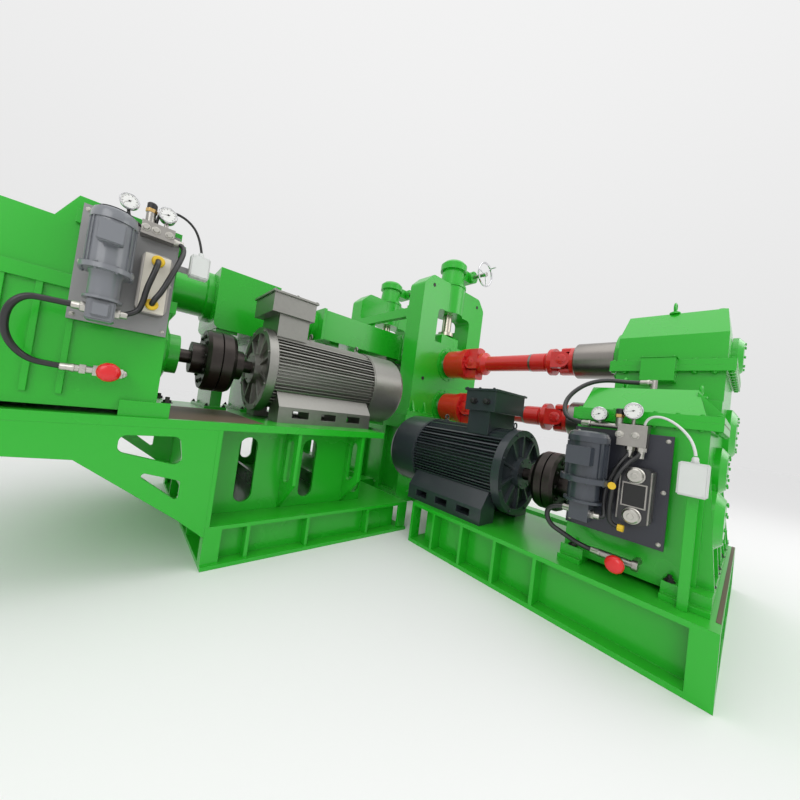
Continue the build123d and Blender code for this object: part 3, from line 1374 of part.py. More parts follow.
# Link beams between the foundations
links = None
for x in LINK_XS:
    part = block(x, x + LINK_W, BASE_LEG_Y1, -(STAND_OUT + BED_OVER), 0, LINK_H)
    links = part if links is None else links + part
for y in LINK_YS:
    links += block(EXT_BASE_X1, -pan_x, y, y + LINK_W, 0, LINK_H)
nodes["foundation_links"] = links


def hose(points, r):
    run = [Vector(*p) for p in points]
    radii = []
    for a, b, c in zip(run, run[1:], run[2:]):
        turn = radians((b - a).get_angle(c - b))
        radii.append(0.45 * min((b - a).length, (c - b).length) / tan(turn / 2))
    path = FilletPolyline(*run, radius=radii)
    start = Plane(origin=path @ 0, z_dir=path % 0)
    print("hose radii", [round(v) for v in radii], "length", round(path.length))
    return sweep(start * Circle(r), path=path)


# Pump motor on its bell and gear pump, upright at x, y
def pump_set(x, y, r, top, out):
    bell_top = top - 2.6 * r
    profile = [
        (0, bell_top - 1.45 * r),
        (r, bell_top - 1.45 * r),
        (r, bell_top - 1.3 * r),
        (0.82 * r, bell_top - 1.3 * r),
        (0.82 * r, bell_top - 0.3 * r),
        (1.28 * r, bell_top - 0.3 * r),
        (1.28 * r, bell_top),
        (r, bell_top),
        (r, top - 0.62 * r),
        (1.08 * r, top - 0.62 * r),
        (1.08 * r, top - 0.3 * r),
        (0.96 * r, top - 0.08 * r),
        (0.75 * r, top),
        (0, top),
    ]
    body = turned_z(x, y, profile)
    low = bell_top - 2.5 * r
    body += block(x - 0.5 * r, x + 0.5 * r, y - 0.5 * r, y + 0.5 * r, low, bell_top - 1.4 * r)
    ox, oy = out
    mid = (top + bell_top) / 2 - 0.1 * r
    cx = x + ox * 1.2 * r
    cy = y + oy * 1.2 * r
    half_u = 0.62 * r
    if ox:
        body += block(cx - 0.35 * r, cx + 0.35 * r, cy - half_u, cy + half_u, mid - 0.5 * r, mid + 0.5 * r)
    else:
        body += block(cx - half_u, cx + half_u, cy - 0.35 * r, cy + 0.35 * r, mid - 0.5 * r, mid + 0.5 * r)
    return body, low


# Lubrication set of the calender gear unit, on a panel beside the front case
panel_x1 = FRONT_X0 - PANEL_STAND_OFF
panel_x0 = panel_x1 - PANEL_T
panel_y0 = PANEL_B_Y1 - PANEL_B_W
panel_top = PANEL_B_Z0 + PANEL_B_H
panel = block(panel_x0, panel_x1, panel_y0, PANEL_B_Y1, PANEL_B_Z0, panel_top)
for y in (panel_y0 + STUD_IN_Y, PANEL_B_Y1 - STUD_IN_Y):
    for z in (PANEL_B_Z0 + STUD_IN_Z, panel_top - STUD_IN_Z):
        panel += rod_x(y, z, STUD_R, panel_x1, FRONT_X0)
nodes["calender_lube_panel"] = panel

pump_x = panel_x0 - PUMP_B_R * 1.34
pump_y = PANEL_B_Y1 - PUMP_B_IN
pump_top = panel_top - PUMP_B_DROP
pump, pump_low = pump_set(pump_x, pump_y, PUMP_B_R, pump_top, (-1, 0))
arm_z = pump_top - 2.75 * PUMP_B_R
arm_y0 = pump_y - 0.8 * PUMP_B_R
arm_y1 = pump_y + 0.8 * PUMP_B_R
pump += block(pump_x, panel_x0, arm_y0, arm_y1, arm_z - ARM_HALF_T, arm_z + ARM_HALF_T)
nodes["calender_lube_pump"] = pump

cooler_y0 = panel_y0 + COOLER_B_IN
cooler_y1 = cooler_y0 + COOLER_B_W
cooler_z0 = PANEL_B_Z0 + COOLER_B_RISE
cooler_z1 = cooler_z0 + COOLER_B_H
cooler_x0 = panel_x0 - COOLER_B_D
cooler = block(cooler_x0, panel_x0, cooler_y0, cooler_y1, cooler_z0, cooler_z1)
cooler = fillet(cooler.edges().filter_by(Axis.X), COOLER_B_ROUND)
for z in (cooler_z0 + PORT_IN, cooler_z1 - PORT_IN):
    y = (cooler_y0 + cooler_y1) / 2
    cooler += rod_x(y, z, PORT_B_R, cooler_x0 - PORT_OUT, cooler_x0 + 1)
nodes["calender_oil_cooler"] = cooler

block_z = panel_top - 38
gallery_z = panel_top + 22
manifold_y1 = pump_y - PUMP_B_R * 1.2
manifold = block(panel_x0 - 70, panel_x0, panel_y0 + 100, manifold_y1, block_z - 40, gallery_z + 16)
manifold += rod_y(panel_x0 - 35, gallery_z, HOSE_R, manifold_y1, PANEL_B_Y1 - 90)
manifold += rod_z(panel_x0 - 35, panel_y0 + 170, 9, gallery_z, gallery_z + 60)
manifold += rod_z(panel_x0 - 35, panel_y0 + 330, 9, gallery_z, gallery_z + 30)
for y, z in ((panel_y0 + 170, gallery_z + 90), (panel_y0 + 330, gallery_z + 60)):
    manifold += rod_x(y, z, 37, panel_x0 - 55, panel_x0 - 17)
manifold += rod_z(panel_x0 - 35, panel_y0 + 235, 18, gallery_z, gallery_z + 50)
nodes["calender_manifold"] = manifold

jb_y1 = panel_y0 - JUNCTION_B_GAP
jb_y0 = jb_y1 - JUNCTION_B_W
jb_y = (jb_y0 + jb_y1) / 2
jb_x = panel_x0 - JUNCTION_B_BACK
jb = block(jb_x - JUNCTION_B_D, jb_x, jb_y0, jb_y1, JUNCTION_B_Z0, JUNCTION_B_Z1)
jb = fillet(jb.edges().filter_by(Axis.X), JUNCTION_B_ROUND)
jb += rod_z(jb_x - 38, jb_y, GLAND_B_R, JUNCTION_B_Z1, JUNCTION_B_Z1 + GLAND_B_L)
nodes["calender_junction_box"] = jb
post_y0 = jb_y - POST_B_W / 2
post = block(jb_x, jb_x + POST_B_T, post_y0, post_y0 + POST_B_W, BASE_H, POST_B_Z1)
nodes["junction_post"] = post

elbow_x = FRONT_X0 + FRONT_INSET + 40
elbow_y = CASE_Y0 + 275
elbow_z = FRONT_TOP_Z + 40
port_x = panel_x0 - 35
port_y = PANEL_B_Y1 - 90
nodes["calender_return_hose"] = hose(
    [
        (elbow_x, elbow_y + 20, elbow_z),
        (elbow_x, elbow_y + 115, elbow_z),
        (elbow_x - 35, elbow_y + 240, elbow_z + 12),
        (elbow_x - 95, CASE_Y1 + 12, elbow_z - 25),
        (elbow_x - 170, CASE_Y1 + 88, elbow_z - 125),
        (elbow_x - 250, CASE_Y1 + 72, elbow_z - 230),
        (port_x, CASE_Y1 - 5, gallery_z),
        (port_x, port_y, gallery_z),
    ],
    HOSE_R,
)
elbow = rod_z(elbow_x, elbow_y, 17, FRONT_TOP_Z, elbow_z + 17)
elbow += rod_y(elbow_x, elbow_z, 17, elbow_y, elbow_y + 20)

# Suction hose from the pump down and round to the stop valve at the foot of the case
valve_x = panel_x0 - 40
valve_y = CASE_Y0 + 290
valve_z = BASE_H + PAD_H + CASE_FOOT_T + 35
valve_end = valve_y + 90
valve = rod_y(valve_x, valve_z, 20, valve_y - 60, valve_end)
valve += rod_x(valve_y, valve_z, 14, valve_x - 70, valve_x)
valve += rod_x(valve_y, valve_z, 38, valve_x - 86, valve_x - 70)
valve += rod_x(valve_y - 60, valve_z, 17, valve_x, FRONT_X0)
valve += rod_y(valve_x, valve_z, 27, valve_y - 80, valve_y - 55)
nodes["calender_pipe_fittings"] = elbow + valve
inlet_y = pump_y + 0.5 * PUMP_B_R
inlet_z = pump_low + 40
nodes["calender_suction_hose"] = hose(
    [
        (pump_x, inlet_y, inlet_z),
        (pump_x, inlet_y + 75, inlet_z),
        (pump_x, inlet_y + 140, inlet_z - 45),
        (pump_x + 10, inlet_y + 118, inlet_z - 125),
        (pump_x + 35, inlet_y + 40, (inlet_z + valve_z) / 2 - 55),
        (valve_x, inlet_y - 45, valve_z),
        (valve_x, valve_end, valve_z),
    ],
    HOSE_R,
)

# Lubrication set of the extruder gear unit, on a panel in front of its case
panel_y1 = GEAR_Y0 - GEAR_FLANGE_W
panel_y0a = panel_y1 - PANEL_T
panel_a_x1 = PANEL_A_X0 + PANEL_A_W
panel_a_top = PANEL_A_Z0 + PANEL_A_H
panel_a = block(PANEL_A_X0, panel_a_x1, panel_y0a, panel_y1, PANEL_A_Z0, panel_a_top)
pump_ax = PANEL_A_X0 + PUMP_A_IN
pump_ay = panel_y0a - PUMP_A_R * 1.34
pump_top = panel_a_top + PUMP_A_RISE
pump, pump_a_low = pump_set(pump_ax, pump_ay, PUMP_A_R, pump_top, (0, -1))
arm_z = pump_top - 2.75 * PUMP_A_R
arm_x0 = pump_ax - 0.8 * PUMP_A_R
arm_x1 = pump_ax + 0.8 * PUMP_A_R
pump += block(arm_x0, arm_x1, pump_ay, panel_y0a, arm_z - ARM_HALF_T, arm_z + ARM_HALF_T)
nodes["extruder_lube_pump"] = pump
cooler_x1 = panel_a_x1 - COOLER_A_IN
cooler_x0 = cooler_x1 - COOLER_A_W
cooler_z0 = PANEL_A_Z0 + COOLER_A_RISE
cooler_z1 = cooler_z0 + COOLER_A_H
cooler_face = panel_y0a - COOLER_A_D
cooler = block(cooler_x0, cooler_x1, cooler_face, panel_y0a, cooler_z0, cooler_z1)
cooler = fillet(cooler.edges().filter_by(Axis.Y), COOLER_A_ROUND)
for z in (cooler_z0 + PORT_IN, cooler_z1 - PORT_IN):
    x = (cooler_x0 + cooler_x1) / 2
    cooler += rod_y(x, z, PORT_A_R, cooler_face - PORT_A_OUT, cooler_face + 1)
nodes["extruder_oil_cooler"] = cooler
manifold = block(panel_a_x1 - 165, panel_a_x1 - 30, panel_y0a - 62, panel_y0a, panel_a_top - 60, panel_a_top + 8)
manifold += rod_z(panel_a_x1 - 70, panel_y0a - 31, 9, panel_a_top + 8, panel_a_top + 40)
manifold += rod_y(panel_a_x1 - 70, panel_a_top + 72, 36, panel_y0a - 50, panel_y0a - 14)
manifold += rod_z(panel_a_x1 - 135, panel_y0a - 31, 20, panel_a_top + 8, panel_a_top + 60)
nodes["extruder_manifold"] = manifold
jb = block(panel_a_x1 + 52, panel_a_x1 + 142, panel_y0a - 70, panel_y0a - 5, 1650, 1768)
jb = fillet(jb.edges().filter_by(Axis.Y), 10)
jb += rod_z(panel_a_x1 + 97, panel_y0a - 40, 12, 1768, 1792)
nodes["extruder_junction_box"] = jb
arm = block(panel_a_x1, panel_a_x1 + 120, panel_y0a, panel_y1, 1670, 1700)
arm += block(panel_a_x1 + 60, panel_a_x1 + 120, panel_y0a - 5, panel_y0a, 1670, 1740)
nodes["extruder_lube_panel"] = panel_a + arm

os.makedirs("parts", exist_ok=True)
for name, shape in nodes.items():
    export_step(shape, "parts/" + name + ".step")
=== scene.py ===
# %% [markdown]
# # An extrusion calender line
# A screw extruder on a raised deck feeds a two-roll calender, and a second motor and
# gear unit turns the rolls through two red cardan shafts. The solid model already holds
# every casting, plate and shaft. This lesson dresses it: paint and metal finishes,
# bolts, gauges, valves, cables and the smooth hoses, then light and a camera.

import itertools
import json
import math

import bmesh
import bpy
from mathutils import Matrix, Vector


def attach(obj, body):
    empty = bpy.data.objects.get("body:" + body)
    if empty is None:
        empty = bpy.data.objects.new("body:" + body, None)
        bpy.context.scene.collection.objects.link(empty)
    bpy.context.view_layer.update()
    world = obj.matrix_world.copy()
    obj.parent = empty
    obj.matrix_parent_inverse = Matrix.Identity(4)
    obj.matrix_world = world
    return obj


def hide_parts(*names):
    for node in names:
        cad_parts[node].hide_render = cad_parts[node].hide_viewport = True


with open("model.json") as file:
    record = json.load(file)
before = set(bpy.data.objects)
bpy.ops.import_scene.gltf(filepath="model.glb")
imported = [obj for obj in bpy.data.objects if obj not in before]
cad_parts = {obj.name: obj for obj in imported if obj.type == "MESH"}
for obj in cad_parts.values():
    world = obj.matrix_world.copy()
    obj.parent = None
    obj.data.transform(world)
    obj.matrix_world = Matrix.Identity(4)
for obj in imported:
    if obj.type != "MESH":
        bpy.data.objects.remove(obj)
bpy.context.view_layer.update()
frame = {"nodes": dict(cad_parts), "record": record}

# %% [markdown]
# ## The camera
# The line was photographed from near the floor with a wide lens that was tipped a
# little to one side. A camera is a place, a direction and a roll, so its three axes are
# worked out from those angles and written into one matrix.

# %% Place the camera
EYE = Vector((-3.317, -3.631, 1.079))
HEADING = math.radians(48.3)
PITCH = math.radians(1.9)
ROLL = math.radians(7.5)
FOCAL_PIXELS = 316.2
PICTURE_PIXELS = 800
SENSOR = 36

forward = Vector(
    (math.cos(HEADING) * math.cos(PITCH), math.sin(HEADING) * math.cos(PITCH), math.sin(PITCH))
)
level_right = Vector((math.sin(HEADING), -math.cos(HEADING), 0))
level_up = level_right.cross(forward)
right = level_right * math.cos(ROLL) + level_up * math.sin(ROLL)
up = level_up * math.cos(ROLL) - level_right * math.sin(ROLL)
turn = Matrix((right, up, -forward)).transposed()

camera = bpy.data.objects.new("camera", bpy.data.cameras.new("camera"))
camera.data.sensor_width = SENSOR
camera.data.lens = SENSOR * FOCAL_PIXELS / PICTURE_PIXELS
camera.data.clip_end = 100
camera.matrix_world = Matrix.Translation(EYE) @ turn.to_4x4()
bpy.context.scene.collection.objects.link(camera)
bpy.context.scene.camera = camera
print("lens", round(camera.data.lens, 2), "mm")

# %% [markdown]
# ## Shader maths in plain expressions
# A procedural finish is a sum of masks. Wiring Math nodes by hand hides that sum, so a
# small class wraps a socket and lets Python's own operators add the nodes. Everything
# that isn't a sum comes from its one method, add.

# %% Wrap a socket
class Wire:
    def __init__(self, tree, socket=None):
        self.tree = tree
        self.socket = socket

    def add(self, kind, settings=None, values=None, out=0):
        node = self.tree.nodes.new(kind)
        for name, value in (settings or {}).items():
            setattr(node, name, value)
        for key, value in (values or {}).items():
            if isinstance(value, Wire):
                self.tree.links.new(value.socket, node.inputs[key])
            else:
                node.inputs[key].default_value = value
        return Wire(self.tree, node.outputs[out]) if node.outputs else node

    def sum_with(self, operation, first, second):
        return self.add("ShaderNodeMath", {"operation": operation}, {0: first, 1: second})

    def __add__(self, other):
        return self.sum_with("ADD", self, other)

    def __mul__(self, other):
        return self.sum_with("MULTIPLY", self, other)

    def __sub__(self, other):
        return self.sum_with("SUBTRACT", self, other)

    __radd__ = __add__


print("socket maths ready")

# %% [markdown]
# ## Finishes
# The castings and fabrications are brushed and sprayed with one bright green gloss
# enamel, so the finish is a coat over a colour that varies very slightly, with the
# faint waviness of filler and paint under it. Sharp solid edges never occur on painted
# steel. A Bevel node rounds the light on them without touching the shape. Dust settles
# on what faces up, so a mask from the normal dulls the tops a little. The same mask
# also paints a highlight, so the tops take a paler, yellower colour as if lit from above.
#
# Metal varies along its grain. The silver motor is made the same way, because it wears a
# metallic lacquer. Moulded parts are one plain colour with a very fine grain.

# %% A painted finish
EDGE = 0.004
GRAIN_SCALE = 70.0
# Level that the mask for dust and the painted highlight on tops has to pass.
DUST_AND_HIGHLIGHT_FLOOR = 0.45
# Sockets that are meant by their place in a node's list.
GENERATED, NORMAL, Z_PART, OBJECT_PLACE = 0, 1, 2, 3
MIX_FACTOR, MIX_LOW, MIX_HIGH, MIX_COLOUR = 0, 6, 7, 2


def start_material(name):
    material = bpy.data.materials.new(name)
    material.use_nodes = True
    material.node_tree.nodes.clear()
    return material, Wire(material.node_tree)


def close_material(wire, values):
    surface = wire.add("ShaderNodeBsdfPrincipled", {}, values)
    wire.add("ShaderNodeOutputMaterial", {}, {"Surface": surface})


def noise(wire, scale, detail=3.0, stretch=(1, 1, 1)):
    place = wire.add("ShaderNodeTexCoord", out=OBJECT_PLACE)
    place = wire.add("ShaderNodeMapping", {}, {"Vector": place, "Scale": stretch})
    return wire.add("ShaderNodeTexNoise", {}, {"Vector": place, "Scale": scale, "Detail": detail})


def soft_edges(wire, height, strength, distance=0.002):
    edge = wire.add("ShaderNodeBevel", {"samples": 4}, {"Radius": EDGE})
    values = {"Height": height, "Strength": strength, "Distance": distance, "Normal": edge}
    return wire.add("ShaderNodeBump", {}, values)


def blend(wire, factor, low, high):
    values = {MIX_FACTOR: factor, MIX_LOW: (*low, 1), MIX_HIGH: (*high, 1)}
    return wire.add("ShaderNodeMix", {"data_type": "RGBA"}, values, out=MIX_COLOUR)


# The second colour is dust together with a painted highlight, laid on upward faces.
def paint(name, colour, dust_and_highlight_colour, rough, coat, waviness=0.25):
    material, wire = start_material(name)
    broad = noise(wire, 1.7, 4.0)
    fine = noise(wire, GRAIN_SCALE, 2.0)
    facing = wire.add("ShaderNodeNewGeometry", out=NORMAL)
    facing = wire.add("ShaderNodeSeparateXYZ", {}, {0: facing}, out=Z_PART)
    # Upward faces turn paler from dust and from a painted highlight on the tops.
    dust_and_highlight = wire.add("ShaderNodeClamp", {}, {0: facing * 0.5 + broad * 0.7 - DUST_AND_HIGHLIGHT_FLOOR})
    close_material(
        wire,
        {
            "Base Color": blend(wire, dust_and_highlight * 0.45, colour, dust_and_highlight_colour),
            "Roughness": rough + broad * 0.12 + dust_and_highlight * 0.15,
            "Coat Weight": coat,
            "Coat Roughness": 0.12,
            "Normal": soft_edges(wire, broad * 2.0 + fine * 0.35, waviness),
        },
    )
    return material


# %% Machined and polished metal
def metal(name, colour, rough, stretch=(1, 1, 1), scale=40.0, waviness=0.08):
    material, wire = start_material(name)
    grain = noise(wire, scale, 4.0, stretch)
    broad = noise(wire, 3.0, 3.0)
    darker = tuple(c * 0.72 for c in colour)
    close_material(
        wire,
        {
            "Base Color": blend(wire, grain * 0.6 + broad * 0.4, darker, colour),
            "Metallic": 1.0,
            "Roughness": rough + grain * 0.14,
            "Normal": soft_edges(wire, grain, waviness, 0.0006),
        },
    )
    return material


def moulded(name, colour, rough, coat=0.0):
    material, wire = start_material(name)
    fine = noise(wire, 120.0, 2.0)
    close_material(
        wire,
        {
            "Base Color": (*colour, 1),
            "Roughness": rough,
            "Coat Weight": coat,
            "Normal": soft_edges(wire, fine, 0.06, 0.0005),
        },
    )
    return material


# Each row is the maker of the finish and its values after the name.
GREEN = (0.014, 0.425, 0.016)
# In paint rows the second colour is dust and a painted highlight for the tops.
NODE_FINISHES = {
    "machine_green": (paint, GREEN, (0.060, 0.43, 0.035), 0.20, 0.18),
    "red_paint": (paint, (0.62, 0.012, 0.010), (0.55, 0.06, 0.05), 0.24, 0.55),
    "dark_motor_paint": (paint, (0.026, 0.034, 0.040), (0.06, 0.07, 0.07), 0.26, 0.4),
    "silver_motor_paint": (metal, (0.36, 0.355, 0.33), 0.36),
    "panel_paint": (paint, (0.022, 0.024, 0.036), (0.05, 0.05, 0.06), 0.32, 0.2, 0.1),
    "pump_paint": (paint, (0.040, 0.048, 0.062), (0.10, 0.11, 0.12), 0.26, 0.5, 0.15),
    "cooler_paint": (paint, (0.018, 0.018, 0.02), (0.06, 0.06, 0.06), 0.32, 0.2, 0.1),
    "machined_steel": (metal, (0.45, 0.43, 0.40), 0.28),
    "chilled_roll": (metal, (0.66, 0.66, 0.66), 0.12, (30, 1, 30), 14.0, 0.02),
    "black_steel": (metal, (0.062, 0.054, 0.050), 0.27),
    "screw_steel": (metal, (0.60, 0.55, 0.46), 0.22, (1, 1, 12), 20.0),
    "wheel_chrome": (metal, (0.78, 0.78, 0.80), 0.08),
    "box_grey": (moulded, (0.66, 0.68, 0.66), 0.42),
    "hose_rubber": (moulded, (0.012, 0.012, 0.013), 0.38, 0.2),
}
finishes = {name: make(name, *values) for name, (make, *values) in NODE_FINISHES.items()}
print("finishes", len(finishes))

# %% Small-part finishes
# Each row begins with the record's slot that the finish stands in.
SMALL_FINISHES = {
    "valve_red": ("red_paint", moulded, (0.70, 0.008, 0.012), 0.28, 0.3),
    "cap_yellow": ("box_grey", moulded, (0.80, 0.52, 0.02), 0.40),
    "dial_white": ("box_grey", moulded, (0.82, 0.82, 0.80), 0.35),
    "dial_black": ("hose_rubber", moulded, (0.01, 0.01, 0.01), 0.45),
    "cable_grey": ("box_grey", moulded, (0.70, 0.71, 0.70), 0.42),
    "brass": ("machined_steel", metal, (0.78, 0.52, 0.20), 0.24),
    "bolt_black": ("black_steel", metal, (0.06, 0.058, 0.055), 0.40),
    "bolt_zinc": ("machined_steel", metal, (0.62, 0.60, 0.55), 0.26),
    # Bare primed steel. The same brown is also used as painted shade on the deck.
    "primed_edge": ("machined_steel", moulded, (0.13, 0.085, 0.055), 0.60),
    "turned_hub": ("machined_steel", metal, (0.30, 0.28, 0.26), 0.24, (1, 30, 1), 6.0, 0.05),
    # In these paint rows too, the second colour is dust and a painted highlight for the tops.
    "grey_panel": ("panel_paint", paint, (0.27, 0.27, 0.27), (0.34, 0.34, 0.33), 0.34, 0.2, 0.1),
    "grey_pump": ("pump_paint", paint, (0.18, 0.19, 0.21), (0.28, 0.28, 0.29), 0.24, 0.5, 0.15),
    "cream_plate": ("box_grey", moulded, (0.74, 0.70, 0.60), 0.32, 0.2),
}
extras = {}
for name, (record_slot, make, *values) in SMALL_FINISHES.items():
    extras[name] = (make(name, *values), record_slot)
for name, finish in finishes.items():
    extras[name] = (finish, name)

slot_of = {piece["node"]: piece["material_slot"] for piece in frame["record"]["subparts"]}
for name, node in frame["nodes"].items():
    node.data.materials.clear()
    node.data.materials.append(finishes[slot_of[name]])
own_finish = {
    "upper_output_hub": "turned_hub",
    "lower_output_hub": "turned_hub",
    "extruder_lube_panel": "grey_panel",
    "extruder_oil_cooler": "machined_steel",
}
for name, finish in own_finish.items():
    frame["nodes"][name].data.materials[0] = extras[finish][0]
print("painted", len(slot_of), "nodes")

# %% [markdown]
# ## Building small parts
# Bolts, dials and plates are many and alike. Each helper draws one shape into a shared
# bmesh at any place and direction, and one call turns the whole group into one object
# that rides on its body. Joined meshes keep the scene light.
#
# Most small parts are turned, so lathe spins a profile of (radius, height) points. A
# disc and a button, which slopes in to a smaller crown, are the profiles used most.

# %% Directions and solid shapes
UP, DOWN = (0, 0, 1), (0, 0, -1)
FAR, NEAR = (0, 1, 0), (0, -1, 0)
RIGHT, LEFT = (1, 0, 0), (-1, 0, 0)


def aim(at, direction):
    turned = Vector(direction).to_track_quat("Z", "Y").to_matrix().to_4x4()
    return Matrix.Translation(Vector(at)) @ turned


def around(radius, height, angle):
    return Vector((radius * math.cos(angle), radius * math.sin(angle), height))


def skin(mesh, low, high):
    sides = max(len(low), len(high))
    for k in range(sides):
        n = (k + 1) % sides
        if len(low) == 1:
            mesh.faces.new((low[0], high[n], high[k]))
        elif len(high) == 1:
            mesh.faces.new((low[k], low[n], high[0]))
        else:
            mesh.faces.new((low[k], low[n], high[n], high[k]))


def lathe(mesh, at, direction, profile, sides=24):
    place = aim(at, direction)
    rings = []
    for radius, height in profile:
        ring = []
        for k in range(sides if radius else 1):
            spot = around(radius, height, 2 * math.pi * k / sides)
            ring.append(mesh.verts.new(place @ spot))
        rings.append(ring)
    for low, high in zip(rings, rings[1:]):
        skin(mesh, low, high)


def disc(mesh, at, direction, radius, depth, sides=24):
    lathe(mesh, at, direction, [(0, 0), (radius, 0), (radius, depth), (0, depth)], sides)


def button(mesh, at, direction, shoulder, crown, sides=24, start=0.0):
    profile = [(0, start), (shoulder[0], start), shoulder, crown, (0, crown[1])]
    lathe(mesh, at, direction, profile, sides)


def box(mesh, low, high, bevel=0.0):
    corners = [mesh.verts.new(corner) for corner in itertools.product(*zip(low, high))]
    quads = ((0, 1, 3, 2), (4, 6, 7, 5), (0, 4, 5, 1), (2, 3, 7, 6), (0, 2, 6, 4), (1, 5, 7, 3))
    faces = [mesh.faces.new([corners[i] for i in quad]) for quad in quads]
    if bevel:
        edges = list({edge for face in faces for edge in face.edges})
        bmesh.ops.bevel(mesh, geom=edges, offset=bevel, segments=2, affect="EDGES")


# %% Bolts and the patterns they stand in
def hex_bolt(mesh, at, direction, size, washer=True):
    if washer:
        disc(mesh, at, direction, size * 1.35, size * 0.2, 16)
    shoulder, crown = (size, size * 0.78), (size * 0.86, size * 0.9)
    button(mesh, at, direction, shoulder, crown, 6, size * 0.15)


def studs(mesh, spots, size):
    shank = [(0.55, 0), (0.55, 1.6), (0.45, 1.7), (0, 1.7)]
    for spot in spots:
        hex_bolt(mesh, spot, UP, size)
        lathe(mesh, spot, UP, [(size * radius, size * height) for radius, height in shank], 12)


def circle(centre, axis, radius, count, start=0.0):
    place = aim(centre, axis)
    return [place @ around(radius, 0, start + 2 * math.pi * k / count) for k in range(count)]


def grid(xs, ys, z):
    return [(x, y, z) for x in xs for y in ys]


def bolt_ring(mesh, centre, axis, radius, count, size, start=0.0, washer=True):
    for spot in circle(centre, axis, radius, count, start):
        hex_bolt(mesh, spot, axis, size, washer)


def bolt_row(mesh, start, end, count, direction, size):
    for k in range(count):
        spot = Vector(start).lerp(Vector(end), k / (count - 1))
        hex_bolt(mesh, spot, direction, size)


# %% From drawings to objects
SHARP_ANGLE = math.radians(32)
ROUND_STEPS, ROUTE_STEPS = 6, 10
made = []


def shape(draw, *values):
    return lambda mesh: draw(mesh, *values)


def each(mesh, draw, table):
    for values in table:
        draw(mesh, *values)


def moved(draw, place):
    def draw_in_place(mesh):
        draw(mesh)
        bmesh.ops.transform(mesh, matrix=place, verts=mesh.verts)

    return draw_in_place


def dress(name, data, body, finish):
    thing = bpy.data.objects.new(name, data)
    bpy.context.scene.collection.objects.link(thing)
    material, record_slot = extras[finish]
    data.materials.append(material)
    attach(thing, body)
    made.append(thing)
    return thing


def piece(name, draw, body, finish, smooth=True):
    mesh = bmesh.new()
    draw(mesh)
    bmesh.ops.recalc_face_normals(mesh, faces=mesh.faces)
    data = bpy.data.meshes.new(name)
    mesh.to_mesh(data)
    mesh.free()
    if smooth:
        data.shade_smooth()
        data.set_sharp_from_angle(angle=SHARP_ANGLE)
    return dress(name, data, body, finish)


def pipe(name, route, radius, body, finish):
    curve = bpy.data.curves.new(name, "CURVE")
    curve.dimensions = "3D"
    curve.bevel_depth = radius
    curve.bevel_resolution = ROUND_STEPS
    curve.use_fill_caps = True
    spline = curve.splines.new("NURBS")
    spline.points.add(len(route) - 1)
    for point, place in zip(spline.points, route):
        point.co = (*place, 1)
    spline.order_u = 3
    spline.use_endpoint_u = True
    spline.resolution_u = ROUTE_STEPS
    return dress(name, curve, body, finish)


print("helpers ready")

# %% [markdown]
# ## The two hoses of the calender's lubrication set
# Oil leaves the top of the gear case through a steel elbow and a rubber hose that bends
# over the cover's corner, and a second hose drops from the pump to the stop valve. Both
# are held at their ends only. A NURBS curve through a few control points bends as
# evenly as rubber does, so it stands for the solid tubes.

# %% Hose routes
HOSE_RADIUS = 0.014
CASE_END_Y = -2.890
CASE_NEAR_Y = -3.494
elbow = Vector((-0.939, CASE_NEAR_Y + 0.275, 1.441))
port_x = -1.235
gallery_z = 1.150
return_route = [
    elbow + Vector((0, 0.020, 0)),
    elbow + Vector((0, 0.115, 0)),
    elbow + Vector((-0.035, 0.240, 0.012)),
    Vector((elbow.x - 0.095, CASE_END_Y + 0.012, elbow.z - 0.025)),
    Vector((elbow.x - 0.170, CASE_END_Y + 0.088, elbow.z - 0.125)),
    Vector((elbow.x - 0.250, CASE_END_Y + 0.072, elbow.z - 0.230)),
    Vector((port_x, CASE_END_Y - 0.005, gallery_z)),
    Vector((port_x, -2.995, gallery_z)),
]
pump_x = -1.32864
inlet_y = -2.975
inlet_z = 0.6534
valve = Vector((-1.240, -3.204, 0.444))
suction_route = [
    Vector((pump_x, inlet_y, inlet_z)),
    Vector((pump_x, inlet_y + 0.075, inlet_z)),
    Vector((pump_x, inlet_y + 0.140, inlet_z - 0.045)),
    Vector((pump_x + 0.010, inlet_y + 0.118, inlet_z - 0.125)),
    Vector((pump_x + 0.035, inlet_y + 0.040, (inlet_z + valve.z) / 2 - 0.055)),
    Vector((valve.x, inlet_y - 0.045, valve.z)),
    Vector((valve.x, valve.y + 0.090, valve.z)),
]
for word, route, length in (("return", return_route, 0.819), ("suction", suction_route, 0.512)):
    hose = pipe(word + "_hose", route, HOSE_RADIUS, "frame", "hose_rubber")
    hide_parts("calender_" + word + "_hose")
print("hoses 2")

# %% [markdown]
# ## Floor, sky and light
# The machine stands alone on a pale ground. Large soft lamps overhead and beside the
# camera give the long smooth highlights of gloss paint, as a bright shop roof does. The
# sky is white and a little brighter overhead than at the horizon, which lifts the tops.

# %% Light the stage
FLOOR = 40.0
SKY_LEVEL, SKY_LIFT = 0.76, 0.16

floor_mesh = bpy.data.meshes.new("floor")
corners = [(-FLOOR, -FLOOR, 0), (FLOOR, -FLOOR, 0), (FLOOR, FLOOR, 0), (-FLOOR, FLOOR, 0)]
floor_mesh.from_pydata(corners, [], [(0, 1, 2, 3)])
floor = bpy.data.objects.new("floor", floor_mesh)
bpy.context.scene.collection.objects.link(floor)
floor_paint, floor_wire = start_material("pale_floor")
close_material(floor_wire, {"Base Color": (0.86, 0.86, 0.86, 1), "Roughness": 0.75})
floor_mesh.materials.append(floor_paint)

